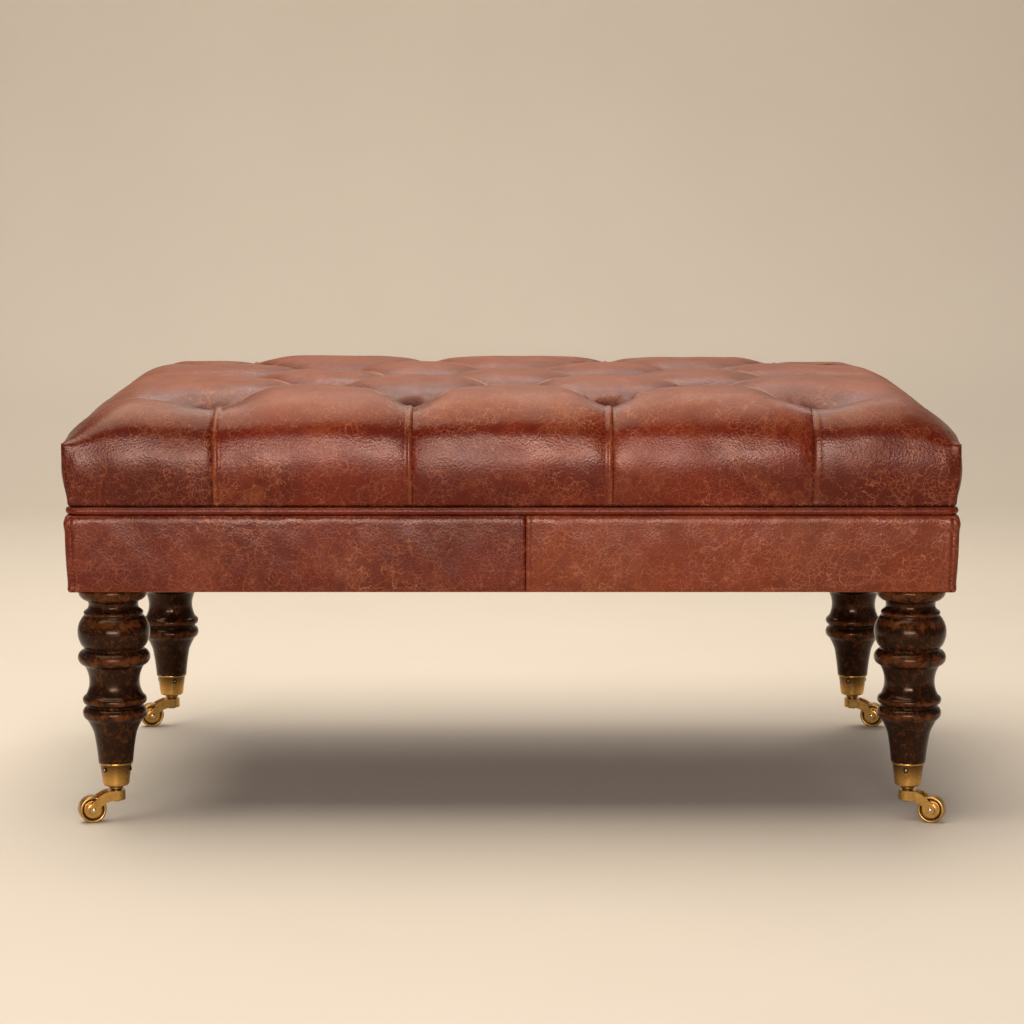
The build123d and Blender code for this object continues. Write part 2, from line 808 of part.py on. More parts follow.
for name, (end, side, _) in corners.items():
    rest = math.radians(castor_rest_angle)
    trail_way = Vector(end * math.cos(rest), -math.sin(rest), 0)
    axle_way = trail_way.cross(up)
    swivel = Vector(end * leg_x, side * leg_y, 0)
    wheel_centre = swivel + trail_way * castor_trail + up * axle_height
    horn_plane = Plane(origin=swivel, x_dir=trail_way, z_dir=axle_way)
    axle_plane = Plane(origin=wheel_centre, x_dir=trail_way, z_dir=axle_way)
    with BuildPart() as horn:
        upright_cylinder((swivel.X, swivel.Y), boss_bottom, boss_top, boss_radius)
        with BuildSketch(horn_plane):
            with BuildLine():
                top_start = (castor_trail * arm_top_start_share, boss_top)
                top_middle = (
                    castor_trail * arm_top_middle_shares[0],
                    axle_height + arm_rise * arm_top_middle_shares[1],
                )
                foot_start = (castor_trail * arm_foot_start_share, boss_bottom)
                foot_middle = (
                    castor_trail * arm_foot_middle_shares[0],
                    axle_height + arm_rise * arm_foot_middle_shares[1],
                )
                Polyline(foot_start, (0, boss_bottom), (0, boss_top), top_start)
                ThreePointArc(top_start, top_middle, on_arm_end(arm_top_end_angle))
                lowest = (castor_trail, axle_height - horn_end_radius)
                ThreePointArc(on_arm_end(arm_top_end_angle), lowest, on_arm_end(arm_foot_end_angle))
                ThreePointArc(on_arm_end(arm_foot_end_angle), foot_middle, foot_start)
            make_face()
        extrude(amount=boss_radius, both=True)
        # The slot for the wheel
        slot_half = wheel_width / 2 + wheel_side_gap
        slot_start = math.sqrt(max(boss_radius**2 - slot_half**2, 0))
        with BuildSketch(Plane(origin=swivel, x_dir=trail_way, z_dir=up)):
            with BuildLine():
                slot_end = castor_trail + horn_end_radius + overrun
                Polyline(
                    (slot_start, -slot_half),
                    (slot_end, -slot_half),
                    (slot_end, slot_half),
                    (slot_start, slot_half),
                )
                ThreePointArc((slot_start, slot_half), (boss_radius, 0), (slot_start, -slot_half))
            make_face()
        extrude(amount=boss_top + overrun, mode=Mode.SUBTRACT)
        bore = pintle_radius + running_fit
        upright_cylinder((swivel.X, swivel.Y), boss_bottom, boss_top, bore, Mode.SUBTRACT)
        with BuildSketch(axle_plane):
            Circle(axle_radius + close_fit)
        extrude(amount=boss_radius + overrun, both=True, mode=Mode.SUBTRACT)
    write(horn.part, f"{name}_castor_horn")

    with BuildPart() as axle:
        with BuildSketch(axle_plane):
            Circle(axle_radius)
        extrude(amount=boss_radius + axle_end_height, both=True)
    write(axle.part, f"{name}_castor_axle")

    with BuildPart() as wheel:
        half = wheel_width / 2
        rim_inner = wheel_radius - wheel_rim_thickness
        bore = axle_radius + running_fit
        with BuildSketch(Plane(origin=wheel_centre, x_dir=trail_way, z_dir=-up)):
            with BuildLine():
                Polyline(
                    (bore, 0),
                    (bore, half - wheel_hub_inset),
                    (wheel_hub_radius, half - wheel_hub_inset),
                    (wheel_hub_radius, half - wheel_dish_depth),
                    (rim_inner, half - wheel_dish_depth),
                    (rim_inner, half),
                    (wheel_radius, half),
                    (wheel_radius, 0),
                )
                mirror(about=Plane.XZ)
            make_face()
        revolve(axis=Axis(wheel_centre, axle_way))
    write(wheel.part, f"{name}_castor_wheel")
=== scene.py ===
"""Dresses the leather ottoman: a deep-buttoned cushion, a piped apron, turned legs and brass castors."""

import cmath
import json
import math

import bmesh
import bpy
import numpy as np
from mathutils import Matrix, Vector


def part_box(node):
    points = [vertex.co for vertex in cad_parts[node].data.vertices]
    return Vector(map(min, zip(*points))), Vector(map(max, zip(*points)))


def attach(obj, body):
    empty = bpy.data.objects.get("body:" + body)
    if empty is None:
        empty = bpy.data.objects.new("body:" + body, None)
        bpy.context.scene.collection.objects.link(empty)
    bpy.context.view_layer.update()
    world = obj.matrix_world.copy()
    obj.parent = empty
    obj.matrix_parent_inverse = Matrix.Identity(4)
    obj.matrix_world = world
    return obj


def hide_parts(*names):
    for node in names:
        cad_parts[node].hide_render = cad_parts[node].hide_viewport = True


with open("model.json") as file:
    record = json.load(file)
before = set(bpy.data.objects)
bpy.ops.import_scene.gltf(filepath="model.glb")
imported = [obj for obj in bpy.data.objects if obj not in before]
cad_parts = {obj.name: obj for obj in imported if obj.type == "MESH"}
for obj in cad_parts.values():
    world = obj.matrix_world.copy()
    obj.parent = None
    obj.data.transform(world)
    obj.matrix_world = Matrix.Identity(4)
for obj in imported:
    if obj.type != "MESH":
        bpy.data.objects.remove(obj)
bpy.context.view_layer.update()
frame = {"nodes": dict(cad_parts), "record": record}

MM = 0.001
X_WAY, Y_WAY, UP = np.eye(3)

# Sizes read from the frame
rim_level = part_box("tufted_cover")[0].z
buttons_low, buttons_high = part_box("cover_buttons")
legs_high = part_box("turned_legs")[1]
cups_low, cups_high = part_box("castor_cups")
welt_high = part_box("welt_piping")[1]
apron_low, apron_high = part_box("apron_front_left")
seam_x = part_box("apron_front_right")[0].x
side_x, side_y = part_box("apron_right_end")[1].x, -apron_low.y
button_level = buttons_low.z

# The tufts' grid: buttons stand where column plus row is odd
button_radius = 11 * MM
outer_column, outer_row = 3, 2
column_pitch = (buttons_high.x - button_radius) / outer_column
row_pitch = (buttons_high.y - button_radius) / outer_row

# The cushion's side
rim_inset = 1 * MM
bulge = 4.9 * MM
corner_lean = 3.5 * MM
border_height = 70 * MM
shoulder_depth = 65 * MM
crest_height = 114.5 * MM
crown_rise = 2.8 * MM
shoulder_start = math.radians(6)
end_roundness = 0.2
rim_round, rim_turn, rim_tuck = 4 * MM, 12 * MM, 3.5 * MM
button_gap = 1 * MM
# The crown's painted top light fades in above the border and fades out in the folds
crown_fade, crown_fold_shares = 4 * MM, (0.04, 0.3)
tuft_depth = rim_level + crest_height + button_gap - button_level

# The corners of the cushion sag, hang a little and are drawn in along a stitched seam
corner_sag = 5 * MM
sag_x_shares, sag_y_shares = (0.6, 0.82), (0.1, 0.7)
corner_droop, droop_width = 6 * MM, 34 * MM
corner_draw, draw_width = 4.5 * MM, 9 * MM
stitch_depth, stitch_width = 1.9 * MM, 1.3 * MM
stitch_roll, stitch_roll_width = 0.7 * MM, 4 * MM
stitch_start, stitch_full, stitch_fade = 8 * MM, 2 * MM, 6 * MM
pleat_past_corner = 40 * MM
corner_tone, corner_tone_shares = -0.7, (0.75, 0.7)

# Unevenness: each wave is a wavelength, a seed and a height
cushion_waves = (170 * MM, 3, 1.1 * MM), (48 * MM, 5, 0.35 * MM)
apron_waves = (120 * MM, 11, 0.5 * MM), (35 * MM, 12, 0.2 * MM)

# Apron
apron_flare = 2.6 * MM
apron_belly = 1.0 * MM
apron_ear, ear_height, ear_width = 1.2 * MM, 6 * MM, 12 * MM
apron_top_round = 9 * MM
foot_round, corner_round, seam_round = 3.2 * MM, 5 * MM, 1.6 * MM
corner_seam, seam_groove, groove_width = 6.5 * MM, 1.1 * MM, 0.9 * MM
corner_roll, corner_roll_width, corner_roll_gap = 0.6 * MM, 2.2 * MM, 3 * MM
middle_roll, middle_roll_width, middle_roll_gap = 0.7 * MM, 2.5 * MM, 3.5 * MM
apron_sway_in, apron_sway_up, apron_sway_along = 6 * MM, 5 * MM, (3 * MM, 14 * MM)
worn_foot = 4 * MM
stitch_pitch = 5 * MM

# Pleats
diagonal_depth = 17 * MM
diagonal_reach = 36 * MM
diagonal_width = 70 * MM
diagonal_hold, diagonal_fade = 1.25, (3 * MM, 12 * MM)
border_depth = 3.6 * MM
border_reach = 60 * MM
border_width = 20 * MM
border_fade = 10 * MM, 24 * MM
inside_offset = 20 * MM
valley_inner, valley_outer = 26 * MM, 40 * MM
back_valley_share = 0.25
foot_fade, sway_fade = 9 * MM, 14 * MM
# Under the rim the leather is painted in shade from here
under_start, under_full = 5.5 * MM, 2 * MM

# The lip of a pleat that laps over its neighbour, and the crease of one that doesn't
lip_stand = 0.4
lip_overlap = 1.6 * MM
lip_rise = 1.9 * MM
lip_band, lip_soft = 4.6 * MM, 1.3 * MM
lip_curl = 1.2 * MM
lip_edge = 0.7 * MM
lip_wear, edge_wear, edge_wear_width = 0.25, 0.35, 2 * MM
rub_wear, rub_middle, rub_width = 0.75, 5 * MM, 4 * MM
# The crease of a pleat that doesn't lap is painted with a shadow line over these widths
crease_width, slope_width = 2.4 * MM, 9 * MM
least_crease = 0.1

# The well round each button, and the wrinkles that gather in it
well_inner, well_outer = 9 * MM, 32 * MM
wrinkle_height = 1.0 * MM
wrinkle_radius = 24 * MM
wrinkle_spread = 14 * MM
wrinkle_count = 9

# The side of each straight pleat that laps over the other: 1 is the pillow further along its side
front_laps = {-3: 1, -1: -1, 1: -1, 3: 1}
end_laps = {-2: 1, 0: -1, 2: 1}

# How far each straight pleat wanders along its side by the time it is over the crest
bend_run = 20 * MM
front_bends = {-3: 8.8 * MM, -1: 1.6 * MM, 1: -2.6 * MM, 3: -4.7 * MM}
back_bends = {-3: 4.0 * MM, -1: 5.0 * MM, 1: 10.0 * MM, 3: -2.0 * MM}
left_bends = {-2: 4.5 * MM, 0: -2.0 * MM, 2: -3.0 * MM}
right_bends = {-2: 3.0 * MM, 0: 2.0 * MM, 2: -4.0 * MM}


def ripple(points, wavelength, seed):
    """A smooth wavy field between about -1 and 1, the same on every run."""
    random = np.random.default_rng(seed)
    total = np.zeros(points.shape[:-1])
    waves = 7
    for _ in range(waves):
        direction = random.normal(size=3)
        direction *= 2 * math.pi / (wavelength * np.linalg.norm(direction)) * random.uniform(0.7, 1.4)
        total += np.sin(points @ direction + random.uniform(0, 2 * math.pi))
    return total / math.sqrt(waves)


def uneven(points, waves):
    return sum(ripple(points, wavelength, seed) * height for wavelength, seed, height in waves)


def smooth_step(low, high, value):
    share = np.clip((value - low) / (high - low), 0, 1)
    return share * share * (3 - 2 * share)


def bell(value, width, power=2):
    """1 at nought, falling away to nought over a few widths."""
    return np.exp(-((value / width) ** power))


def rolled(distance, width):
    """How far a rounded edge drops, as a share: 1 at no distance, 0 from the width on."""
    near = np.clip(1 - distance / width, 0, 1)
    return 1 - np.sqrt(1 - near * near)


def all_round(count):
    """Angles of a whole turn."""
    return np.linspace(0, 2 * math.pi, count, endpoint=False)


# Meshes


def grid_faces(rows, columns, wrap=False):
    """The quads of a grid of points that are listed row by row."""
    faces = []
    for row in range(rows - 1):
        for column in range(columns if wrap else columns - 1):
            here, beside = row * columns + column, row * columns + (column + 1) % columns
            faces.append((here, beside, beside + columns, here + columns))
    return faces


def joined(parts):
    """The points and faces of several parts as one."""
    points, faces, start = [], [], 0
    for part_points, part_faces in parts:
        points.append(part_points.reshape(-1, 3))
        faces += [tuple(start + index for index in face) for face in part_faces]
        start += len(points[-1])
    return np.concatenate(points), faces


def in_scene(name, data):
    """A new object in the scene."""
    made = bpy.data.objects.new(name, data)
    bpy.context.scene.collection.objects.link(made)
    return made


def smooth_mesh(name, points, faces, material):
    mesh = bpy.data.meshes.new(name)
    mesh.from_pydata([tuple(point) for point in points], [], faces)
    mesh.shade_smooth()
    mesh.materials.append(material)
    return mesh


def add_piece(name, points, faces, slot, node, body="root", flip=False, **attributes):
    """Makes a smooth mesh piece that stands for a node, rides on a body and takes a slot's finish."""
    if flip:
        faces = [face[::-1] for face in faces]
    mesh = smooth_mesh(name, points.reshape(-1, 3), faces, materials[slot])
    for key, values in attributes.items():
        layer = mesh.attributes.new(key, "FLOAT", "POINT")
        layer.data.foreach_set("value", np.asarray(values, np.float32).ravel())
    piece = in_scene(name, mesh)
    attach(piece, body)
    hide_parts(node)
    return piece


def lathe(outline, origin, axis, segments):
    """Points and quads of an outline of (radius, height) pairs turned about an axis."""
    turn = Vector(UP).rotation_difference(Vector(axis).normalized()).to_matrix()
    angles = all_round(segments)
    radii, heights = np.hsplit(np.asarray(outline), 2)
    rings = (radii * np.cos(angles), radii * np.sin(angles), np.repeat(heights, segments, axis=1))
    points = np.stack(rings, axis=-1).reshape(-1, 3) @ np.array(turn).T + np.array(origin)
    return points, grid_faces(len(outline), segments, wrap=True)


def turned_piece(name, outline, origin, axis, segments, slot, node, body="root", **shades):
    """A lathed piece; each shade has a value for each point of the outline."""
    points, faces = lathe(outline, origin, axis, segments)
    shades = {key: np.repeat(values, segments) for key, values in shades.items()}
    add_piece(name, points, faces, slot, node, body, flip=True, **shades)


def arc_between(start, middle, end, steps):
    """Points of the arc through three points, without its first one."""
    start, middle, end = (complex(*point) for point in (start, middle, end))
    ratio = (end - start) / (middle - start)
    centre = start + (middle - start) * (ratio - abs(ratio) ** 2) / (2j * ratio.imag)
    arm = start - centre
    through, last = (cmath.phase((point - centre) / arm) % (2 * math.pi) for point in (middle, end))
    if through > last:
        last -= 2 * math.pi
    points = [centre + arm * cmath.rect(1, last * step / steps) for step in range(1, steps + 1)]
    return [(point.real, point.imag) for point in points]


# Materials


class Shader:
    """Builds the nodes of one procedural material."""

    def __init__(self, name):
        self.material = bpy.data.materials.new(name)
        self.material.use_nodes = True
        self.tree = self.material.node_tree
        self.surface = self.tree.nodes["Principled BSDF"]
        self.place = self.add("ShaderNodeTexCoord").outputs["Object"]

    def add(self, kind, inputs=None, **settings):
        node = self.tree.nodes.new(kind)
        for key, value in settings.items():
            setattr(node, key, value)
        for key, value in (inputs or {}).items():
            self.put(node.inputs[key], value)
        return node

    def put(self, socket, value):
        if isinstance(value, bpy.types.NodeSocket):
            self.tree.links.new(value, socket)
        elif isinstance(value, tuple) and len(value) == 3 and socket.type == "RGBA":
            socket.default_value = (*value, 1)
        else:
            socket.default_value = value

    def noise(self, scale, detail=4.0, roughness=0.55, place=None):
        inputs = {"Vector": place or self.place, "Scale": scale, "Detail": detail, "Roughness": roughness}
        return self.add("ShaderNodeTexNoise", inputs).outputs["Fac"]

    def cracks(self, scale, width, place):
        """Thin lines along the edges of random cells: 1 on a line, 0 off it."""
        inputs = {"Vector": place, "Scale": scale}
        cells = self.add("ShaderNodeTexVoronoi", inputs, feature="DISTANCE_TO_EDGE")
        return self.band(cells.outputs["Distance"], 0, width, 1, 0)

    def contour(self, scale, width):
        """Thin wandering lines: 1 on a line, 0 off it."""
        noise = self.noise(scale, 2.0, 0.5, self.warp(120, 0.006))
        return self.band(self.math("ABSOLUTE", self.math("SUBTRACT", noise, 0.5), 0.0), 0, width, 1, 0)

    def band(self, value, low, high, out_low=0.0, out_high=1.0):
        inputs = {0: value, 1: low, 2: high, 3: out_low, 4: out_high}
        return self.add("ShaderNodeMapRange", inputs, interpolation_type="SMOOTHSTEP").outputs[0]

    def math(self, operation, a, b):
        return self.add("ShaderNodeMath", {0: a, 1: b}, operation=operation).outputs[0]

    def times(self, a, b):
        return self.math("MULTIPLY", a, b)

    def larger(self, a, b):
        return self.math("MAXIMUM", a, b)

    def weighted(self, *terms):
        """The sum of values, each times its weight."""
        total = 0.0
        for value, weight in terms:
            total = self.math("ADD", total, self.times(value, weight))
        return total

    def mix(self, share, a, b):
        inputs = {0: share, 6: a, 7: b}
        return self.add("ShaderNodeMix", inputs, data_type="RGBA").outputs[2]

    def layered(self, colour, layers):
        """A colour under layers, each a share and the colour that it adds."""
        for share, layer in layers:
            colour = self.mix(share, colour, layer)
        return colour

    def move(self, operation, inputs):
        return self.add("ShaderNodeVectorMath", inputs, operation=operation).outputs[0]

    def warp(self, scale, strength):
        """The place, pushed about by noise."""
        noise = self.add("ShaderNodeTexNoise", {"Vector": self.place, "Scale": scale, "Detail": 3.0})
        centred = self.move("SUBTRACT", {0: noise.outputs["Color"], 1: (0.5, 0.5, 0.5)})
        return self.move("ADD", {0: self.place, 1: self.move("SCALE", {0: centred, 3: strength})})

    def stretch(self, factors):
        return self.add("ShaderNodeMapping", {"Vector": self.place, "Scale": factors}).outputs[0]

    def attribute(self, name):
        return self.add("ShaderNodeAttribute", attribute_name=name).outputs["Fac"]

    def bump(self, height, strength, distance):
        inputs = {"Height": height, "Strength": strength, "Distance": distance}
        self.put(self.surface.inputs["Normal"], self.add("ShaderNodeBump", inputs).outputs[0])

    def set(self, **inputs):
        """Sets the surface's sockets, named with low lines for spaces."""
        for key, value in inputs.items():
            self.put(self.surface.inputs[key.replace("_", " ")], value)
        return self.material


def scaled(colour, factor, lift=0.0):
    return tuple(factor * part + lift for part in colour)


def leather(name, dark, mid, light, crackle=1.0):
    """Waxed pull-up leather: clouded colour, painted shade in folds and creases, a crown painted lighter as
    top light and wear, fine pale crackle and a pebbled grain.
    """
    shader = Shader(name)
    tone, crown_light_and_wear, edge, fold = (shader.attribute(key) for key in ("tone", "crown_light_and_wear", "wear", "fold"))
    # A negative wear value paints a shadow line in a crease or under the rim; deep folds get painted shade
    crease_shadow, hollow_shade = shader.band(edge, -1, -0.1, 1, 0), shader.band(fold, 0.35, 1.0)
    # Fine scratches and crackle, each broken up by noise, thicker in patches
    warped = shader.warp(95, 0.008)
    patches = shader.band(shader.noise(9, 3, 0.5), 0.4, 0.66, 0.45, 0.85)
    strands = (
        (shader.cracks(105, 0.026, warped), 30),
        (shader.cracks(190, 0.045, warped), 50),
        (shader.contour(30, 0.008), 24),
        (shader.contour(62, 0.014), 40),
    )
    lines = 0.0
    for strand, breaks in strands:
        broken = shader.times(strand, shader.band(shader.noise(breaks, 3, 0.6), 0.42, 0.54))
        lines = shader.larger(lines, broken)
    lines = shader.times(lines, shader.times(patches, 0.74 * crackle))
    worn = shader.times(shader.band(edge, 0, 1), shader.band(shader.noise(70, 4), 0.3, 0.6, 0.35, 0.8))
    layers = (
        (shader.band(shader.noise(7, 7, 0.7), 0.34, 0.66), mid),
        (shader.band(shader.noise(15, 6, 0.68), 0.48, 0.8, 0, 0.5), light),
        (shader.band(tone, 0, 1, 0, 0.35), light),
        (shader.band(tone, -1, 0, 0.75, 0), scaled(dark, 0.75)),
        # Painted light: the crown is lighter as if lit from above, with some pull-up wear
        (shader.times(crown_light_and_wear, 0.36), light),
        (worn, scaled(light, 1.2)),
        # Painted shade: darker down into folds and hollows, darkest as a painted shadow line in creases
        (shader.band(fold, 0.06, 0.45, 0, 0.6), dark),
        (shader.times(hollow_shade, 0.8), scaled(dark, 0.6)),
        (shader.times(crease_shadow, 0.8), scaled(dark, 0.18)),
        (lines, scaled(light, 1.2, 0.025)),
    )
    # Grain, pores and soft dents
    grain = shader.add("ShaderNodeTexVoronoi", {"Vector": shader.place, "Scale": 420.0}).outputs["Distance"]
    pores, dents = shader.noise(320, 3), shader.noise(45, 3)
    shader.bump(shader.weighted((grain, 0.4), (pores, 0.3), (dents, 0.25), (lines, -0.12)), 0.3, 0.001)
    roughness = shader.weighted((shader.band(shader.noise(22, 5), 0.3, 0.7, 0.25, 0.34), 1), (crown_light_and_wear, 0.16))
    for share, most in ((crease_shadow, 0.8), (hollow_shade, 0.6)):
        roughness = shader.larger(roughness, shader.times(share, most))
    shader.set(Base_Color=shader.layered(dark, layers), Roughness=roughness)
    return shader.set(Specular_IOR_Level=0.32, Specular_Tint=(1.0, 0.74, 0.64))


def dark_wood(name):
    """Very dark polish over reddish wood, worn through to orange where the beads stand out."""
    shader = Shader(name)
    grain = shader.noise(1.0, 5, 0.65, shader.stretch((240, 240, 30)))
    worn = shader.band(shader.attribute("wear"), 0.2, 0.9)
    share = shader.band(shader.weighted((shader.noise(130, 9, 0.8), 1), (worn, 0.1)), 0.49, 0.7, 0, 0.8)
    scratches = shader.larger(shader.contour(34, 0.008), shader.cracks(120, 0.05, shader.warp(90, 0.009)))
    scratches = shader.times(scratches, shader.band(shader.noise(40, 3), 0.5, 0.62, 0, 0.6))
    polish = shader.mix(grain, (0.004, 0.0013, 0.0006), (0.018, 0.0052, 0.002))
    bare = shader.mix(grain, (0.06, 0.016, 0.004), (0.17, 0.052, 0.012))
    shader.bump(shader.weighted((grain, 0.5), (shader.noise(90, 4), 1)), 0.2, 0.0005)
    roughness = shader.band(shader.noise(60, 4), 0.3, 0.7, 0.14, 0.26)
    shader.set(Base_Color=shader.mix(shader.larger(share, scratches), polish, bare), Roughness=roughness)
    return shader.set(Specular_IOR_Level=0.22, Specular_Tint=(1.0, 0.7, 0.5))


def brass(name, bright, dull, roughness, turned=0.0):
    """Satin brass with brown tarnish in clouds; a turned piece shines in a band along its axis."""
    shader = Shader(name)
    tarnish = shader.band(shader.noise(60, 5, 0.6), 0.4, 0.8, 0, 0.7)
    # Painted shade in grooves and under lips, towards a dark brown
    crevice_shade = shader.band(shader.attribute("fold"), 0, 1, 0, 0.85)
    colour = shader.layered(bright, ((tarnish, dull), (crevice_shade, (0.05, 0.025, 0.01))))
    rough = shader.band(shader.noise(160, 4), 0.3, 0.7, roughness - 0.05, roughness + 0.08)
    shader.set(Base_Color=colour, Metallic=1.0, Roughness=rough)
    return shader.set(Anisotropic=turned, Anisotropic_Rotation=0.25)


def screw_metal(name):
    """Dark bronze, brighter in the middle of each head."""
    shader = Shader(name)
    colour = shader.mix(shader.attribute("wear"), (0.03, 0.018, 0.01), (0.5, 0.42, 0.3))
    shader.bump(shader.noise(900, 3), 0.1, 0.00015)
    return shader.set(Base_Color=colour, Metallic=1.0, Roughness=0.35)


def cloth(name):
    """Black woven bottoming cloth."""
    shader = Shader(name)
    inputs = {"Vector": shader.place, "Scale": 280.0}
    threads = [shader.add("ShaderNodeTexWave", inputs, bands_direction=way).outputs["Fac"] for way in "XY"]
    weave = shader.times(*threads)
    colour = shader.mix(weave, (0.012, 0.012, 0.013), (0.035, 0.035, 0.037))
    shader.bump(weave, 0.5, 0.0005)
    return shader.set(Base_Color=colour, Roughness=0.9)


def plain_wood(name, dark, light):
    shader = Shader(name)
    grain = shader.noise(1.0, 5, 0.6, shader.stretch((14, 190, 190)))
    shader.bump(grain, 0.3, 0.0004)
    return shader.set(Base_Color=shader.mix(grain, dark, light), Roughness=0.6)


def soft_stuff(name, dark, light, scale):
    shader = Shader(name)
    pores = shader.noise(scale, 5, 0.7)
    shader.bump(pores, 0.6, 0.0015)
    return shader.set(Base_Color=shader.mix(pores, dark, light), Roughness=0.95)


def grey_metal(name, dark, light, roughness):
    shader = Shader(name)
    marks = shader.noise(240, 4, 0.6)
    shader.bump(marks, 0.1, 0.0002)
    return shader.set(Base_Color=shader.mix(marks, dark, light), Metallic=1.0, Roughness=roughness)


rust_dark, rust, tan = (0.068, 0.004, 0.001), (0.128, 0.0115, 0.002), (0.28, 0.075, 0.022)
looks = {
    "cushion_leather": (leather, rust_dark, rust, tan),
    "apron_leather": (leather, (0.07, 0.006, 0.002), (0.13, 0.0135, 0.004), tan, 1.1),
    "piping_leather": (leather, (0.08, 0.007, 0.003), (0.14, 0.015, 0.005), tan, 0.5),
    "button_leather": (leather, rust_dark, rust, tan, 0.5),
    "foam": (soft_stuff, (0.62, 0.55, 0.36), (0.8, 0.74, 0.52), 300),
    "wadding": (soft_stuff, (0.72, 0.72, 0.7), (0.86, 0.86, 0.84), 120),
    "twine": (soft_stuff, (0.42, 0.34, 0.2), (0.62, 0.52, 0.34), 900),
    "plywood": (plain_wood, (0.42, 0.28, 0.15), (0.62, 0.45, 0.27)),
    "turned_beech": (plain_wood, (0.45, 0.28, 0.15), (0.64, 0.44, 0.26)),
    "frame_wood": (plain_wood, (0.4, 0.26, 0.13), (0.6, 0.42, 0.24)),
    "leg_wood": (dark_wood,),
    "black_cloth": (cloth,),
    "steel": (grey_metal, (0.42, 0.42, 0.43), (0.62, 0.62, 0.62), 0.35),
    "screw_bronze": (screw_metal,),
    "cup_brass": (brass, (0.64, 0.36, 0.1), (0.4, 0.205, 0.05), 0.27, 0.8),
    "horn_brass": (brass, (0.56, 0.33, 0.095), (0.34, 0.18, 0.048), 0.28),
    "wheel_brass": (brass, (0.52, 0.31, 0.09), (0.38, 0.2, 0.055), 0.32),
    "axle_steel": (grey_metal, (0.55, 0.48, 0.36), (0.78, 0.7, 0.55), 0.25),
    "washer_brass": (brass, (0.42, 0.27, 0.1), (0.2, 0.11, 0.04), 0.34),
    "pintle_steel": (grey_metal, (0.1, 0.08, 0.06), (0.2, 0.16, 0.11), 0.4),
}
materials = {name: finish(name, *values) for name, (finish, *values) in looks.items()}
for subpart in frame["record"]["subparts"]:
    node = frame["nodes"][subpart["node"]]
    node.data.materials.clear()
    node.data.materials.append(materials[subpart["material_slot"]])

# Cushion


def rounded(share):
    """The rise of a long side's shoulder at a share of the way in, without a kink at the face."""
    start = math.sin(shoulder_start)
    return (np.sqrt(1 - ((1 - share) * math.cos(shoulder_start)) ** 2) - start) / (1 - start)


def side_profile(samples=300):
    """The cushion's side, from its crest to under its rim.

    Each point has its run down the side, how far out from the apron it is and how high above the rim.
    """
    across = np.cos(np.linspace(math.pi / 2, shoulder_start, samples)) / math.cos(shoulder_start)
    shoulder_out = -shoulder_depth + (shoulder_depth + corner_lean) * across
    shoulder_up = border_height + (crest_height - border_height) * rounded(1 - across)
    height = np.linspace(border_height, rim_round, samples)[1:]
    share = height / border_height
    face_out = -rim_inset + (corner_lean + rim_inset) * share + bulge * np.sin(math.pi * share)
    under = np.linspace(0, math.pi / 2, samples // 6)[1:]
    under_out = face_out[-1] - rim_round + rim_round * np.cos(under)
    under_up = rim_round - rim_round * np.sin(under)
    tucked_out = under_out[-1] - rim_tuck
    last_out = tucked_out - (rim_turn - math.hypot(rim_tuck, rim_tuck))
    out = np.concatenate((shoulder_out, face_out, under_out, [tucked_out, last_out]))
    level = np.concatenate((shoulder_up, height, under_up, [-rim_tuck, -rim_tuck]))
    steps = np.hypot(np.diff(out), np.diff(level))
    return np.concatenate(([0], np.cumsum(steps))), out, level


profile_run, profile_out, profile_level = side_profile()
profile_end = profile_run[-1]
foot_run = profile_end - rim_turn
border_start = np.interp(-border_height, -profile_level, profile_run)


def out_at(run):
    """How far out from the apron the side is at a run."""
    return np.interp(run, profile_run, profile_out)


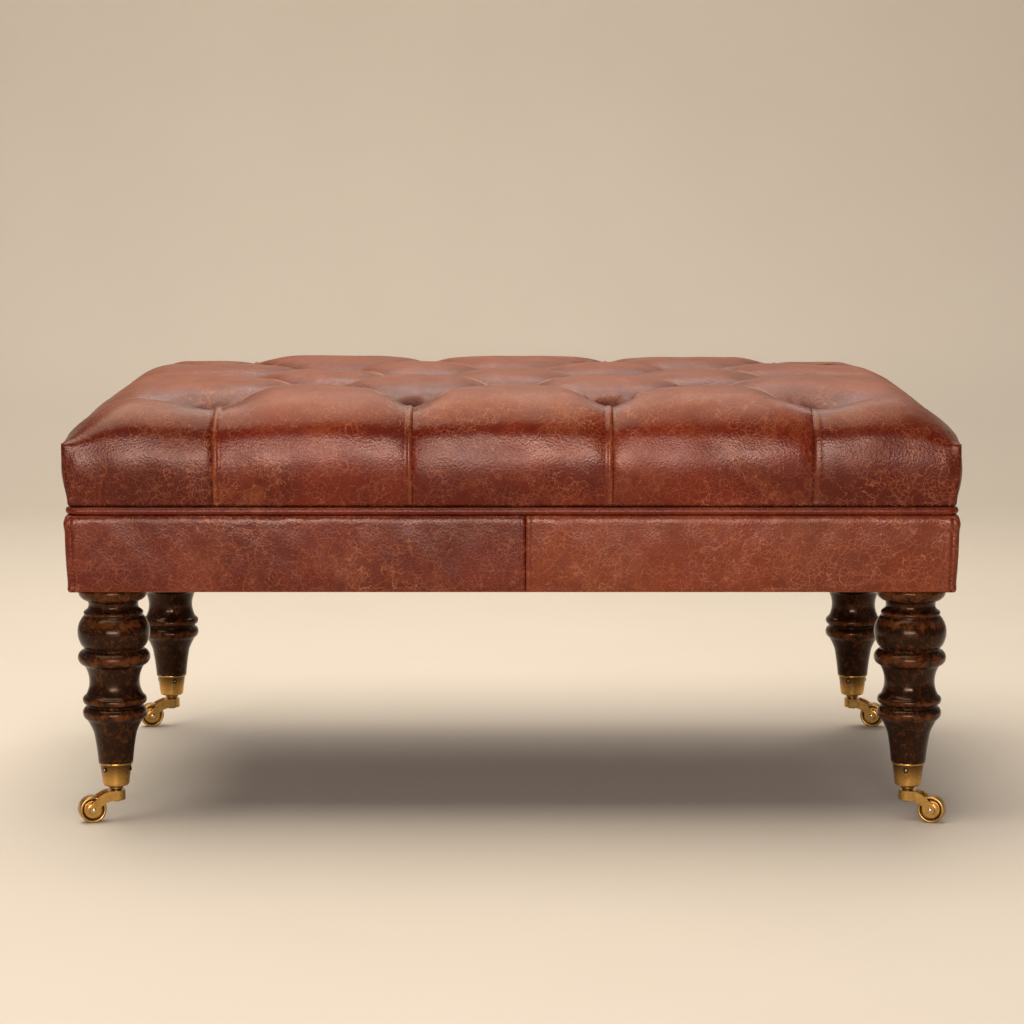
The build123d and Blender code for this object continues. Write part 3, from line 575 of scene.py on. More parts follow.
class Side:
    """One side of the cushion, unrolled: a length along it, and a run out over the crest to the rim."""

    def __init__(self, is_end, way, bends):
        self.is_end = is_end
        reaches, pitches, lasts = (side_x, side_y), (column_pitch, row_pitch), (outer_column, outer_row)
        deep, wide = (0, 1) if is_end else (1, 0)
        self.out, self.along = way * (X_WAY, Y_WAY)[deep], (X_WAY, Y_WAY)[wide]
        self.reach, self.far_reach = reaches[deep], reaches[wide]
        self.depth_pitch, self.pitch = pitches[deep], pitches[wide]
        self.last = lasts[wide]
        self.button_run = lasts[deep] * self.depth_pitch + shoulder_depth - self.reach
        self.laps = end_laps if is_end else front_laps
        self.valley_share = back_valley_share if way > 0 and not is_end else 1.0
        self.knots = [-self.far_reach, *(column * self.pitch for column in bends), self.far_reach]
        self.bends = [0, *bends.values(), 0]
        # 1 where the way along and the way up make a face that looks out
        self.hand = np.cross(self.along, UP) @ self.out

    def end_reach(self, run):
        """How far along the side the corner's diagonal lies at a run."""
        last = self.last * self.pitch
        flat = last + (self.far_reach - shoulder_depth - last) * (1 - run / self.button_run)
        return np.where(run <= 0, flat, self.far_reach + out_at(run))

    def shoulder(self, inward, of_end):
        """The share of the rise at a distance in from the face: the ends slope more than the long sides."""
        share = np.clip(inward / (shoulder_depth + corner_lean), 0, 1)
        if of_end:
            return (1 - end_roundness) * np.sin(math.pi / 2 * share) + end_roundness * rounded(share)
        return rounded(share)

    def height(self, run):
        """Height above the rim at a run, well away from the corners."""
        share = self.shoulder(corner_lean - out_at(run), self.is_end)
        shoulder = border_height + (crest_height - border_height) * share
        return np.where(run < border_start, shoulder, np.interp(run, profile_run, profile_level))

    def place(self, along, run):
        """The surface before tufting, and the way that its leather faces."""
        out = np.where(run <= 0, self.reach - shoulder_depth + run, self.reach + out_at(run))
        bend = np.interp(along, self.knots, self.bends) * smooth_step(self.button_run, bend_run, run)
        points = (along + bend)[..., None] * self.along + out[..., None] * self.out
        x, y = points[..., 0], points[..., 1]
        dome_x = np.clip(1 - (x / (side_x - shoulder_depth)) ** 2, 0, 1)
        dome_y = np.clip(1 - (y / (side_y - shoulder_depth)) ** 2, 0, 1)
        to_end = self.far_reach - np.abs(along)
        corner_share = self.shoulder(to_end + corner_lean, not self.is_end)
        level = self.height(run)
        level = level - np.clip(level - border_height, 0, None) * (1 - corner_share)
        droop = corner_droop * bell(to_end, droop_width) * bell(self.reach - out, droop_width)
        droop = droop * np.clip(level / border_height, 0, 1)
        level = np.where(run <= 0, crest_height + crown_rise * dome_x * dome_y, level) - droop
        sag = corner_sag * smooth_step(*sag_x_shares, np.abs(x) / side_x)
        sag = sag * smooth_step(*sag_y_shares, np.abs(y) / side_y)
        points[..., 2] = rim_level + level - sag * smooth_step(border_height, crest_height, level)
        step = 1.5 * MM
        rise = self.height(run + step) - self.height(run - step)
        go = out_at(run + step) - out_at(run - step)
        length = np.maximum(np.hypot(rise, go), 1e-9)
        facing = (-rise / length)[..., None] * self.out + (go / length)[..., None] * UP
        return points, np.where((run <= step)[..., None], UP, facing)


sides = {
    "front": Side(False, -1, front_bends),
    "back": Side(False, 1, back_bends),
    "left": Side(True, -1, left_bends),
    "right": Side(True, 1, right_bends),
}


def off_segment(along, run, start, end):
    """Distance to a segment, the length travelled along it, and its whole length."""
    ax, ay = end[0] - start[0], end[1] - start[1]
    share = ((along - start[0]) * ax + (run - start[1]) * ay) / (ax * ax + ay * ay)
    share = np.clip(share, 0, 1)
    length = math.hypot(ax, ay)
    return np.hypot(along - start[0] - share * ax, run - start[1] - share * ay), share * length, length


def around_button(along, run, button):
    """How deep the leather lies round a button, and the small folds that gather there."""
    over, down = along - button[0], run - button[1]
    radius, turn = np.hypot(over, down), np.arctan2(down, over)
    well = tuft_depth * (1 - smooth_step(well_inner, well_outer, radius))
    phase = 17 * button[0] / MM + 31 * button[1] / MM
    folds = np.sin(wrinkle_count * turn + phase)
    folds = folds + 0.7 * np.sin((2 * wrinkle_count - 3) * turn - 2 * phase)
    return well, wrinkle_height * bell(radius - wrinkle_radius, wrinkle_spread) * folds / 3


def pillow(side, along, run, pleats, inside):
    """One stretch of leather between pleats: its smooth points, their facing, their depth, and their wear and
    painted shade.

    Each pleat is (start, end, kind, over); inside is a point of the stretch's middle.
    """
    depth, wear = np.zeros_like(along), np.zeros_like(along)
    shift_along, shift_run = np.zeros_like(along), np.zeros_like(run)
    for start, end, kind, over in pleats:
        distance, travelled, length = off_segment(along, run, start, end)
        if kind == "diagonal":
            nearest = np.minimum(travelled, length - travelled)
            deep = diagonal_depth + (tuft_depth - diagonal_depth) * bell(nearest, diagonal_reach, 1.3)
            fall = deep * rolled(distance, diagonal_width)
            hold = diagonal_hold * smooth_step(*diagonal_fade, nearest)
        else:
            valley = valley_inner if abs(start[0]) < 0.9 * side.last * side.pitch else valley_outer
            valley = valley * (0.5 + 0.5 * side.valley_share)
            deep = side.valley_share * (tuft_depth - border_depth) * bell(travelled, border_reach, 1.5)
            fall = border_depth * rolled(distance, border_width) + deep * bell(distance, valley)
            hold = smooth_step(*border_fade, travelled)
        if over:
            edge = bell(distance, lip_edge)
            band = hold * smooth_step(lip_band + lip_soft, lip_band - lip_soft, distance)
            worn = band * (1 - edge) * (lip_wear + edge_wear * np.exp(-distance / edge_wear_width))
            if kind == "diagonal":
                held = np.clip(hold, 0, 1)
                fall = fall * (1 - lip_stand * held * (1 - edge))
                worn = np.maximum(worn, rub_wear * held * bell(distance - rub_middle, rub_width))
            fall = fall - lip_rise * band + lip_curl * hold * edge
            wear = np.maximum(wear, worn)
            # Push the lip across the pleat, away from the stretch's middle
            across = np.array((start[1] - end[1], end[0] - start[0])) / length
            if np.subtract(inside, start) @ across > 0:
                across = -across
            push = lip_overlap * hold * np.exp(-distance / lip_band)
            shift_along += across[0] * push
            shift_run += across[1] * push
        else:
            crease = hold * bell(distance, crease_width if kind == "border" else slope_width)
            # A pleat that doesn't lap gets a painted shadow line along its crease, carried as a negative
            # value
            wear = np.where(crease > least_crease, -crease, wear)
        depth = depth + fall - depth * np.clip(fall, 0, None) / tuft_depth
    for start, end, kind, _ in pleats:
        for button in (start, end) if kind == "diagonal" else (start,):
            well, folds = around_button(along, run, button)
            depth = depth + well - depth * well / tuft_depth + folds
    depth = np.minimum(depth, tuft_depth) * smooth_step(foot_run, foot_run - foot_fade, run)
    points, facing = side.place(along + shift_along, run + shift_run)
    depth = depth - uneven(points, cushion_waves) * smooth_step(0, sway_fade, foot_run - run)
    # Under the rim the leather is painted in full shade, as a value of -1
    under = smooth_step(foot_run - under_start, foot_run - under_full, run)
    return points, facing, depth, wear * (1 - under) - under


def spaced(count, both=True):
    """Shares from -1 to 1, or 0 to 1, drawn together at the ends where the pleats are."""
    if both:
        return np.sin(np.linspace(-math.pi / 2, math.pi / 2, count))
    share = np.linspace(0, 1, count)
    return share - 0.88 * np.sin(2 * math.pi * share) / (2 * math.pi)


def inner_pillows():
    """The whole diamonds in the middle of the cushion."""
    to_run = shoulder_depth - side_y
    across, back = np.meshgrid(spaced(52), spaced(52))
    for row in range(1 - outer_row, outer_row):
        for column in range(1 - outer_column, outer_column):
            if (column + row) % 2:
                continue
            x = (column + (across + back) / 2) * column_pitch
            y = (row + (across - back) / 2) * row_pitch
            west, east, south, north, middle = (
                ((column + over) * column_pitch, to_run - (row + up) * row_pitch)
                for over, up in ((-1, 0), (1, 0), (0, -1), (0, 1), (0, 0))
            )
            pleats = [
                (west, south, "diagonal", False),
                (south, east, "diagonal", False),
                (west, north, "diagonal", True),
                (north, east, "diagonal", True),
            ]
            yield *pillow(sides["front"], x, to_run - y, pleats, middle), False


def outer_pillows(name, side):
    """The pillows between two outer buttons of a side, from the pleats' point down to the rim."""
    shares, down = spaced(66), spaced(112, both=False)[:, None]
    # A pleat on the top laps towards the back
    laps = (False, True) if side.is_end else (name == "front", name == "front")
    for centre in range(1 - side.last, side.last, 2):
        middle, first, last = (number * side.pitch for number in (centre, centre - 1, centre + 1))
        along = np.repeat((centre + shares)[None] * side.pitch, len(down), axis=0)
        top = side.button_run - side.depth_pitch * (1 - np.abs(shares))
        run = top + (profile_end - top) * down
        point = (middle, side.button_run - side.depth_pitch)
        left, right = (first, side.button_run), (last, side.button_run)
        pleats = [
            (left, point, "diagonal", laps[0]),
            (point, right, "diagonal", laps[1]),
            (left, (first, profile_end), "border", side.laps[centre - 1] == 1),
            (right, (last, profile_end), "border", side.laps[centre + 1] == -1),
        ]
        inside = (middle, side.button_run + inside_offset)
        yield *pillow(side, along, run, pleats, inside), side.hand < 0


def corner_half(side, end):
    """Half of a corner's pillow, from a side's pleat to the corner's diagonal."""
    rows, columns, top_share = 112, 56, 0.3
    down = spaced(rows, both=False)[:, None]
    run = side.button_run * (1 - np.clip(down / top_share, 0, 1))
    run = run + profile_end * np.clip((down - top_share) / (1 - top_share), 0, 1)
    last = side.last * side.pitch
    share = (np.sin(np.linspace(0, math.pi / 2, columns)) + np.linspace(0, 1, columns))[None] / 2
    along = end * (last + (side.end_reach(run) - last) * share)
    run = np.repeat(run, columns, axis=1)
    button = (end * last, side.button_run)
    past_corner = (end * (side.far_reach + pleat_past_corner), side.button_run)
    pleats = [
        (button, (end * last, profile_end), "border", side.laps[end * side.last] == end),
        (button, past_corner, "border", False),
    ]
    return *pillow(side, along, run, pleats, (end * (last + inside_offset), 0)), share, run


def corner_pillows():
    """The four corner pillows: two halves that meet on the corner's diagonal."""
    for long_name, way in (("front", -1), ("back", 1)):
        for short_name, end in (("left", -1), ("right", 1)):
            halves = [corner_half(sides[long_name], end), corner_half(sides[short_name], way)]
            middle = halves[0][1][:, -1:] + halves[1][1][:, -1:]
            middle = middle / np.linalg.norm(middle, axis=-1, keepdims=True)
            edge_depth = (halves[0][2][:, -1:] + halves[1][2][:, -1:]) / 2
            drawn = []
            for points, facing, depth, wear, share, run in halves:
                blend = share**10
                facing = facing * (1 - blend[..., None]) + middle * blend[..., None]
                facing = facing / np.linalg.norm(facing, axis=-1, keepdims=True)
                depth = depth * (1 - blend) + edge_depth * blend
                gap = np.linalg.norm(points - points[:, -1:], axis=-1)
                # Draw in the seam down the border
                seam = smooth_step(border_start - stitch_start, border_start + stitch_full, run)
                seam = seam * smooth_step(0, stitch_fade, foot_run - run)
                roll = stitch_roll * bell(gap - stitch_roll_width, stitch_roll_width)
                depth = depth + seam * (stitch_depth * bell(gap, stitch_width) - roll)
                down_seam = np.clip((run - border_start) / (foot_run - border_start), 0, 1)
                depth = depth + corner_draw * np.sin(math.pi * down_seam) * bell(gap, draw_width)
                drawn.append((points, facing, depth, wear))
            whole = (np.concatenate((one, two[:, -2::-1]), axis=1) for one, two in zip(*drawn))
            yield *whole, end * way > 0


def tufted_cushion():
    """The whole leather cover, one stretch of leather for each pillow."""
    patches = [*inner_pillows(), *corner_pillows()]
    for name, side in sides.items():
        patches += outer_pillows(name, side)
    parts, folds, worn, tones = [], [], [], []
    for points, facing, depth, wear, flip in patches:
        points = points - facing * depth[..., None]
        quads = grid_faces(*depth.shape)
        parts.append((points, [quad[::-1] for quad in quads] if flip else quads))
        # How deep each point lies; the leather turns this into painted shade
        folds.append(np.clip(depth / tuft_depth, 0, 1).ravel())
        worn.append(wear.ravel())
        # The corner pillows are darker
        middle = np.abs(points[depth.shape[0] // 2, depth.shape[1] // 2])
        at_corner = np.all(middle[:2] > np.multiply(corner_tone_shares, (side_x, side_y)))
        tones.append(np.full(depth.size, corner_tone if at_corner else 0.0))
    points, faces = joined(parts)
    fold, wear, tone = np.concatenate(folds), np.concatenate(worn), np.concatenate(tones)
    # The crown is painted lighter, as top light with some pull-up wear, but not down in the folds
    crown_light_and_wear = smooth_step(border_height + crown_fade, crest_height - crown_fade, points[:, 2] - rim_level)
    crown_light_and_wear = crown_light_and_wear * (1 - smooth_step(*crown_fold_shares, fold))
    shades = {"fold": fold, "wear": wear, "tone": tone, "crown_light_and_wear": crown_light_and_wear}
    piece = add_piece("tufted_cushion", points, faces, "cushion_leather", "tufted_cover", **shades)


def covered_buttons():
    """A leather-covered button at the bottom of each tuft."""
    dome = np.array([(0, 6), (3, 5.8), (6, 5), (8.8, 3.6), (10.4, 1.8), (11, 0)]) * MM
    parts = []
    for row in range(-outer_row, outer_row + 1):
        for column in range(-outer_column, outer_column + 1):
            if (column + row) % 2:
                origin = (column * column_pitch, row * row_pitch, button_level)
                lean = (0.08 * math.sin(3 * column + row), 0.08 * math.cos(2 * row - column), 1)
                parts.append(lathe(dome, origin, lean, 40))
    points, faces = joined(parts)
    # Painted shade: the buttons sit deep in their wells
    fold = np.full(len(points), 0.3)
    add_piece("covered_buttons", points, faces, "button_leather", "cover_buttons", fold=fold)


# Apron and piping


def apron_panel(name, side, start, end, tone=0.0):
    """One strip of the apron: it bellies out, draws in to its foot, and its ends turn in at the seams."""
    height = apron_high.z - apron_low.z
    rows, columns, evenness = 46, 220, 0.22
    angle = np.linspace(0, math.pi / 2, 7)[1:]
    top_in, under_in = -14 * MM, (-16 * MM, -24 * MM)
    outward = np.concatenate(([top_in], np.zeros(rows), foot_round * (np.cos(angle) - 1), under_in))
    rise = np.linspace(height, foot_round, rows)
    level = np.concatenate(([height], rise, foot_round * (1 - np.sin(angle)), [0, 0]))
    share = (1 - evenness) * (1 - np.cos(np.linspace(0, math.pi, columns))) / 2
    share = share + evenness * np.linspace(0, 1, columns)
    mitre = corner_round * (1 - math.sqrt(0.5))
    first = start + mitre * (abs(start) == side.far_reach)
    last = end - mitre * (abs(end) == side.far_reach)
    along, out = np.meshgrid(first + (last - first) * share, outward)
    level = np.repeat(level[:, None], columns, axis=1)
    up_share = level / height
    flare = apron_flare * up_share * (1 - rolled(height - level, apron_top_round))
    inset = -flare - apron_belly * np.sin(math.pi * up_share)
    ears = bell(level, ear_height) + bell(height - apron_top_round - level, ear_height)
    spread = apron_ear * ears * (out > -1.5 * foot_round) - inset
    fold, shift = np.zeros_like(inset), np.zeros_like(inset)
    for seam in (start, end):
        gap = np.abs(along - seam)
        if abs(seam) == side.far_reach:
            # A sewn seam runs down the face just inside the corner; the roll beyond it ends in ears
            stitch = 0.65 + 0.35 * np.sin(2 * math.pi * level / stitch_pitch)
            groove = stitch * bell(gap - corner_seam, groove_width)
            near_corner = bell(gap, ear_width)
            inset += corner_round * rolled(gap, corner_round) + seam_groove * groove
            inset -= corner_roll * bell(gap - corner_seam - corner_roll_gap, corner_roll_width)
            inset -= apron_ear * ears * near_corner
            shift += math.copysign(1, seam) * spread * near_corner
            # Painted shade in the groove of the corner seam
            fold = np.maximum(fold, 0.8 * groove)
        else:
            turned = rolled(gap, seam_round)
            inset += seam_round * turned - middle_roll * bell(gap - middle_roll_gap, middle_roll_width)
            # Painted shade where the panel turns in at the middle seam
            fold = np.maximum(fold, turned)
    points = (along + shift)[..., None] * side.along + (side.reach + out)[..., None] * side.out
    points[..., 2] = apron_low.z + level
    sway = uneven(points, apron_waves) * (out > -apron_sway_in) * smooth_step(0, apron_sway_up, level)
    sway = sway * smooth_step(*apron_sway_along, np.minimum(along - start, end - along))
    points = points - (inset - sway)[..., None] * side.out
    wear, tone = 0.5 * smooth_step(worn_foot, 0, level), np.full_like(fold, tone)
    faces = grid_faces(*along.shape)
    shades = {"fold": fold, "wear": wear, "tone": tone}
    add_piece(f"{name}_leather", points, faces, "apron_leather", name, flip=side.hand > 0, **shades)


def apron():
    """Two panels on each long side, which meet right of the middle, and one on each end."""
    for face in ("front", "back"):
        apron_panel(f"apron_{face}_left", sides[face], -side_x, seam_x, -0.4)
        apron_panel(f"apron_{face}_right", sides[face], seam_x, side_x, 0.5)
    for face in ("left", "right"):
        apron_panel(f"apron_{face}_end", sides[face], -side_y, side_y)


def rounded_path(half_x, half_y, radius, step=4 * MM):
    """Points round a rectangle with rounded corners, and the outward direction at each."""
    points, outward = [], []
    signs = ((1, 1), (-1, 1), (-1, -1), (1, -1), (1, 1))
    centres = [np.array((x * (half_x - radius), y * (half_y - radius))) for x, y in signs]
    for quarter in range(4):
        turn = math.pi / 2 * quarter
        for angle in np.linspace(turn, turn + math.pi / 2, 12):
            way = np.array((math.cos(angle), math.sin(angle)))
            points.append(centres[quarter] + radius * way)
            outward.append(way)
        last, following = points[-1], centres[quarter + 1] + radius * way
        count = int(np.linalg.norm(following - last) / step)
        for share in np.linspace(0, 1, count + 1)[1:-1]:
            points.append(last + (following - last) * share)
            outward.append(way)
    return np.array(points), np.array(outward)


def piping():
    """The welt between apron and cushion: a leather-covered cord."""
    inset, corner, clear, sides_round = 4 * MM, 9 * MM, 0.1 * MM, 22
    radius = (welt_high.z - apron_high.z) / 2 - clear
    path, outward = rounded_path(welt_high.x - inset, welt_high.y - inset, corner)
    level = np.full((len(path), 1), welt_high.z - radius)
    path = np.concatenate((path, level), axis=1)
    way = np.concatenate((outward, np.zeros_like(level)), axis=1)
    swell = 1 + 0.025 * ripple(path, 30 * MM, 21)
    angles = all_round(sides_round)
    ring = np.cos(angles)[None, :, None] * way[:, None] + np.sin(angles)[None, :, None] * UP
    points = path[:, None] + ring * (radius * swell)[:, None, None]
    points = np.concatenate((points, points[:1]))
    # Painted shade on the underside of the cord
    fold = np.tile(0.4 * np.clip(-np.sin(angles), 0, 1), len(points))
    faces = grid_faces(len(points), sides_round, wrap=True)
    add_piece("piping_cord", points, faces, "piping_leather", "welt_piping", fold=fold)


# Legs and castors

corners = {"front_left": (-1, -1), "front_right": (1, -1), "back_left": (-1, 1), "back_right": (1, 1)}
screw_turns = {"front_left": 232, "front_right": 255, "back_left": 290, "back_right": 245}
leg_widest = 37.2 * MM
leg_x, leg_y = legs_high.x - leg_widest, legs_high.y - leg_widest
cup_rim, cup_foot = cups_high.z, cups_low.z
cup_rim_radius = 17.9 * MM
turned_height = legs_high.z - cup_rim
wheel_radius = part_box("front_left_castor_wheel")[1].z / 2
collar_radius, collar_edge = 36 * MM, 1.2 * MM

# The turning from the collar down: the end of each stretch, then an arc's middle.
# Each point is a share of the turned height above the cup and a share of the widest radius.
leg_outline_shares = [
    ((0.976, 0.968), None),
    ((0.925, 0.726), (0.948, 0.908)),
    ((0.879, 0.715), (0.901, 0.683)),
    ((0.866, 0.796), None),
    ((0.844, 0.796), (0.855, 0.822)),
    ((0.668, 0.887), (0.747, 1.000)),
    ((0.654, 0.823), None),
    ((0.645, 0.823), None),
    ((0.557, 0.844), (0.601, 1.000)),
    ((0.546, 0.801), None),
    ((0.388, 0.785), (0.4615, 0.696)),
    ((0.379, 0.833), None),
    ((0.332, 0.806), (0.355, 0.887)),
    ((0.326, 0.780), None),
    ((0.320, 0.780), None),
    ((0.2495, 0.817), (0.2835, 0.890)),
    ((0.2396, 0.763), None),
    ((0.165, 0.591), (0.203, 0.667)),
    ((0.0, 0.4812), (0.077, 0.522)),
]


def at_each_leg(prefix, outline, segments, slot, node, **shades):
    """The same turned piece on the axis of each leg."""
    for corner, (end, side) in corners.items():
        origin = (end * leg_x, side * leg_y, 0)
        turned_piece(f"{prefix}_{corner}", outline, origin, UP, segments, slot, node, **shades)


def turned_legs():
    """The legs; they are worn where they stand out from what is above and below."""
    arc_steps, worn_reach, worn_stand, in_cup = 14, 9 * MM, 2.2 * MM, 6 * MM

    def point(share):
        return (share[1] * leg_widest, cup_rim + share[0] * turned_height)

    top = legs_high.z
    outline = [(0.0, top), (collar_radius * 0.96, top), (collar_radius, top - collar_edge)]
    for end, middle in leg_outline_shares:
        there = point(end)
        outline += arc_between(outline[-1], point(middle), there, arc_steps) if middle else [there]
    outline += [(cup_rim_radius - 2.2 * MM, cup_rim), (cup_rim_radius - 3 * MM, cup_rim - in_cup)]
    radii, levels = np.array(outline).T
    steady = np.array([np.mean(radii[np.abs(levels - level) < worn_reach]) for level in levels])
    wear = np.clip((radii - steady) / worn_stand, 0, 1)
    at_each_leg("turned_leg", outline, 96, "leg_wood", "turned_legs", wear=wear)


def beaded(radius, level, height):
    """A half-round bead that stands out from a turning: (radius, level) pairs from its top down."""
    half = height / 2
    angles = np.linspace(math.pi / 2, -math.pi / 2, 8)
    return [(radius + half * (math.cos(angle) - 1), level + half * math.sin(angle)) for angle in angles]


def castor_cups():
    """The brass cups, each with a bead round its lip and a rounded foot."""
    body_top, body_foot, wall, rounding = 16.2 * MM, 13.6 * MM, 1.4 * MM, 2.4 * MM
    bead, under_lip = 2.6 * MM, cup_rim - 3.1 * MM
    outline = [
        (cup_rim_radius - 2.6 * MM, cup_rim - 5 * MM),
        (cup_rim_radius - 2.4 * MM, cup_rim - 0.3 * MM),
        (cup_rim_radius - wall, cup_rim),
        *beaded(cup_rim_radius, cup_rim - 1.4 * MM, bead),
        (body_top, under_lip),
        (body_foot + 0.25 * MM, cup_foot + rounding + 1 * MM),
    ]
    for angle in np.linspace(0, math.pi / 2, 7):
        level = cup_foot + rounding * (1 - math.sin(angle))
        outline.append((body_foot - rounding * (1 - math.cos(angle)), level))
    outline.append((3 * MM, cup_foot))
    # Painted shade in a thin band under the lip's bead
    crevice_shade = 0.9 * bell(np.array(outline)[:, 1] - under_lip, 0.5 * MM)
    at_each_leg("brass_cup", outline, 96, "cup_brass", "castor_cups", fold=crevice_shade)


def castor_washers():
    """The bright ring between two dark grooves under each cup."""
    neck, ring, low = 5.6 * MM, 7.4 * MM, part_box("castor_washers")[0].z
    height = cup_foot - low
    outline = [(neck, cup_foot), (neck, cup_foot - 0.25 * height)]
    outline += beaded(ring, cup_foot - 0.5 * height, 0.42 * height)
    outline += [(neck, low + 0.2 * height), (neck, low)]
    at_each_leg("swivel_ring", outline, 64, "washer_brass", "castor_washers")


def cup_screws():
    """Domed screws with a slot, three round each cup."""
    head, dome, skirt_deep, bright_middle = 2.6 * MM, 1.1 * MM, 1.4 * MM, 0.9 * MM
    slot_half, slot_deep = 0.42 * MM, 0.7 * MM
    seat, level = 15.6 * MM, cup_rim - 7.5 * MM
    rings, segments = 12, 40
    radii = np.linspace(0, head, rings)
    angles = all_round(segments)
    across, along = np.outer(radii, np.cos(angles)), np.outer(radii, np.sin(angles))
    out = dome * np.sqrt(np.clip(1 - (radii / (head * 1.08)) ** 2, 0, 1))[:, None] * np.ones_like(across)
    out = out - slot_deep * (np.abs(across) < slot_half) * (radii < 0.9 * head)[:, None]
    parts = []
    for corner, (end, side) in corners.items():
        for count in range(3):
            turn = math.radians(screw_turns[corner] + 120 * count)
            way = np.array((math.cos(turn), math.sin(turn), 0))
            tilt = 0.6 * count + end + 2 * side
            u = across * math.cos(tilt) - along * math.sin(tilt)
            v = across * math.sin(tilt) + along * math.cos(tilt)
            points = np.array((end * leg_x, side * leg_y, level)) + way * seat
            points = points + u[..., None] * np.cross(UP, way) + v[..., None] * UP + out[..., None] * way
            points = np.concatenate((points, points[-1:] - way * skirt_deep))
            parts.append((points, grid_faces(rings + 1, segments, wrap=True)))
    points, faces = joined(parts)
    worn = np.tile(np.repeat([*bell(radii, bright_middle), 0], segments), len(parts))
    add_piece("cup_screw_heads", points, faces, "screw_bronze", "cup_screws", wear=worn)


def mirrored(outline):
    """Half of a symmetrical turning, and the same on the other side of its middle."""
    return outline + [(radius, -along) for radius, along in reversed(outline)]


def castor_wheel(corner, centre, axle_way):
    """A brass wheel with a rounded rim, a groove and a dished disc with its hub."""
    groove, groove_half, hub_foot, hub_half = 10.4 * MM, 0.8 * MM, 4.2 * MM, 0.6 * MM
    # Half of its section in millimetres, from the bore out
    drawn_rim = 14
    section = [
        (1.7, 5.9), (3.0, 5.9), (3.5, 5.6), (3.7, 5.0), (4.6, 4.3), (6.5, 4.05), (8.8, 4.5), (9.5, 4.35),
        (9.8, 3.7), (9.95, 2.9), (10.9, 2.9), (11.1, 4.4), (11.2, 5.8), (11.6, 6.3), (12.4, 6.4), (13.2, 6.3),
        (13.8, 5.9), (14.0, 5.2),
    ]
    outline = mirrored([(radius * wheel_radius / drawn_rim, along * MM) for radius, along in section])
    outline.append(outline[0])
    radii = np.array(outline)[:, 0]
    # Painted shade in the groove round the disc and at the foot of the hub
    crevice_shade = np.maximum(bell(radii - groove, groove_half, 4), 0.6 * bell(radii - hub_foot, hub_half))
    name, node, body = f"brass_wheel_{corner}", f"{corner}_castor_wheel", f"wheel_{corner}"
    turned_piece(name, outline, centre, axle_way, 120, "wheel_brass", node, body, fold=crevice_shade)


def castor_axle(corner, centre, axle_way):
    """The axle, with a domed rivet head at each end."""
    half, head, dome, neck = 9.3 * MM, 2.3 * MM, 1.0 * MM, 1.6 * MM
    under_head = half - 0.2 * MM
    outline = [(0.0, half + dome)]
    for angle in np.linspace(0.2, math.pi / 2, 6):
        outline.append((head * math.sin(angle), half + dome * math.cos(angle)))
    outline = mirrored(outline + [(head, under_head), (neck, under_head)])
    name, node, body = f"riveted_axle_{corner}", f"{corner}_castor_axle", f"castor_{corner}"
    turned_piece(name, outline, centre, axle_way, 48, "axle_steel", node, body)


def castor_horn(corner):
    """The horn's own solid with its edges rounded off."""
    node = f"{corner}_castor_horn"
    source = frame["nodes"][node]
    mesh = source.data.copy()
    build = bmesh.new()
    build.from_mesh(mesh)
    bmesh.ops.remove_doubles(build, verts=build.verts, dist=0.005 * MM)
    bmesh.ops.dissolve_limit(build, angle_limit=math.radians(1), verts=build.verts, edges=build.edges)
    build.to_mesh(mesh)
    build.free()
    mesh.shade_smooth()
    mesh.materials.clear()
    mesh.materials.append(materials["horn_brass"])
    horn = in_scene(f"brass_horn_{corner}", mesh)
    horn.matrix_world = source.matrix_world.copy()
    bevel = horn.modifiers.new("edges", "BEVEL")
    bevel.width, bevel.segments = 0.55 * MM, 3
    bevel.limit_method, bevel.angle_limit = "ANGLE", math.radians(28)
    weighted = horn.modifiers.new("normals", "WEIGHTED_NORMAL")
    weighted.keep_sharp = False
    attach(horn, f"castor_{corner}")
    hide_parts(node)


def castors():
    """Each castor's wheel, axle and horn, placed from the frame."""
    for corner, (end, side) in corners.items():
        low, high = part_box(f"{corner}_castor_wheel")
        centre = (low + high) / 2
        trail = Vector((centre.x - end * leg_x, centre.y - side * leg_y, 0)).normalized()
        axle_way = trail.cross(Vector(UP))
        castor_wheel(corner, centre, axle_way)
        castor_axle(corner, centre, axle_way)
        castor_horn(corner)


tufted_cushion()
covered_buttons()
apron()
piping()
turned_legs()
castor_cups()
castor_washers()
cup_screws()
castors()

# Studio


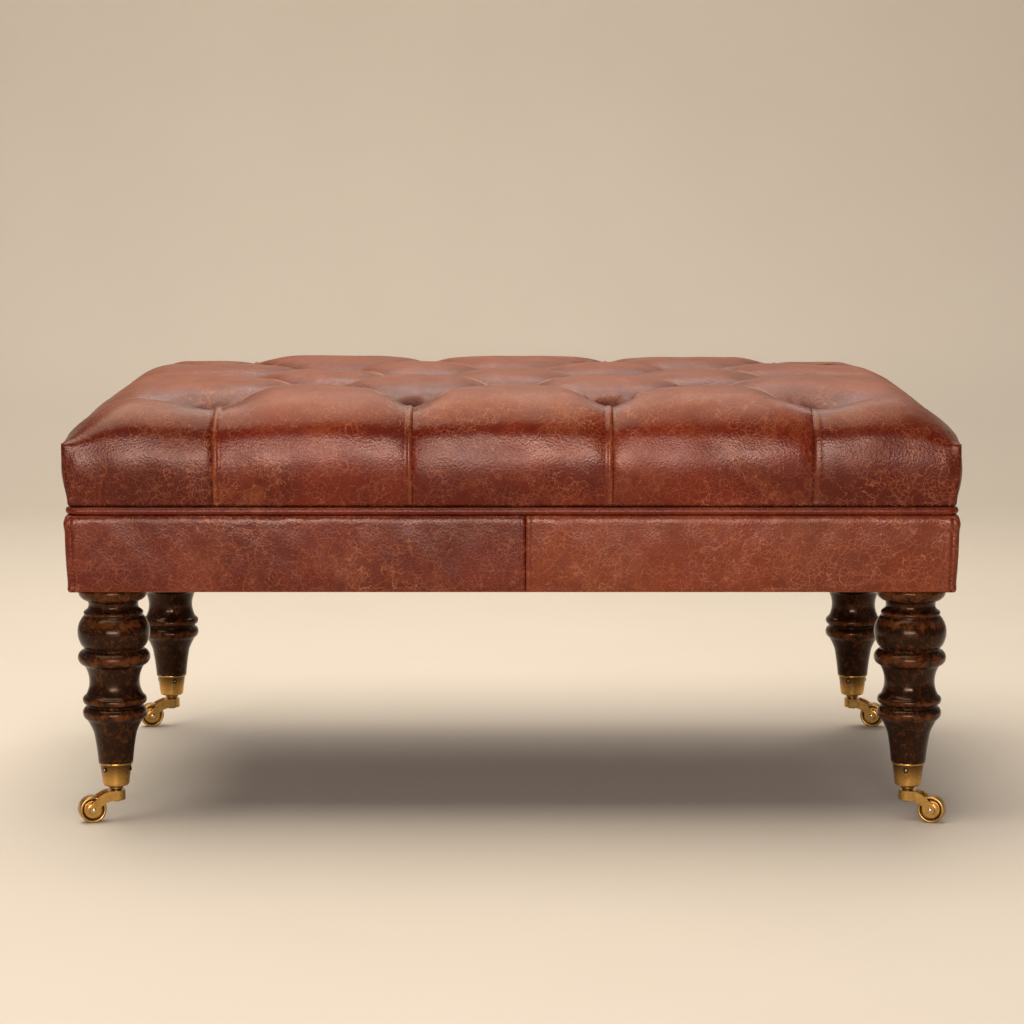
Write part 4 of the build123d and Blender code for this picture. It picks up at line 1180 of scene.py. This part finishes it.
def area_light(name, place, aim, size, power, colour):
    light = bpy.data.lights.new(name, "AREA")
    light.shape = "RECTANGLE"
    light.size, light.size_y = size
    light.energy = power
    light.color = colour
    lamp = in_scene(name, light)
    lamp.location = place
    lamp.rotation_euler = (Vector(aim) - Vector(place)).to_track_quat("-Z", "Y").to_euler()


def floor():
    """A pale floor that sweeps up behind the object."""
    shader = Shader("pale_floor")
    tone = shader.mix(shader.noise(3, 3), (0.59, 0.525, 0.46), (0.63, 0.565, 0.5))
    shader.set(Base_Color=tone, Roughness=0.85)
    half, front, bend_start, bend_radius, top = 5, -6, 2.4, 1, 4
    bend = [(front, 0), (bend_start, 0)]
    for angle in np.linspace(0.05, math.pi / 2, 20):
        bend.append((bend_start + bend_radius * math.sin(angle), bend_radius * (1 - math.cos(angle))))
    bend.append((bend_start + bend_radius, top))
    points = [(-half, y, z) for y, z in bend] + [(half, y, z) for y, z in bend]
    count = len(bend)
    faces = [(count + row, count + row + 1, row + 1, row) for row in range(count - 1)]
    in_scene("studio_floor", smooth_mesh("studio_floor", points, faces, shader.material))


def studio():
    """The floor, a dim warm world, soft lamps and the photograph's camera."""
    scene = bpy.context.scene
    floor()
    world = bpy.data.worlds.new("studio_world")
    scene.world = world
    world.use_nodes = True
    background = world.node_tree.nodes["Background"]
    background.inputs["Color"].default_value = (1.0, 0.93, 0.86, 1)
    background.inputs["Strength"].default_value = 0.17
    area_light("front", (-0.2, -3.7, 0.78), (0, 0, 0.38), size=(2.0, 0.2), power=84, colour=(1, 0.87, 0.82))
    area_light("key", (-0.6, 0.1, 3.0), (0, 0, 0.35), size=(3.8, 2.8), power=142, colour=(1, 0.93, 0.78))
    area_light("back", (0.4, 2.0, 2.3), (0, 0, 0.4), size=(2.2, 0.8), power=16, colour=(1, 0.95, 0.9))
    camera = bpy.data.cameras.new("camera")
    camera.lens, camera.sensor_width = 106.45, 36
    view = in_scene("camera", camera)
    view.location = (0, -3.3416, 0.702)
    view.rotation_euler = (math.radians(82.982), 0, 0)
    scene.camera = view
    scene.view_settings.view_transform = "Standard"


studio()
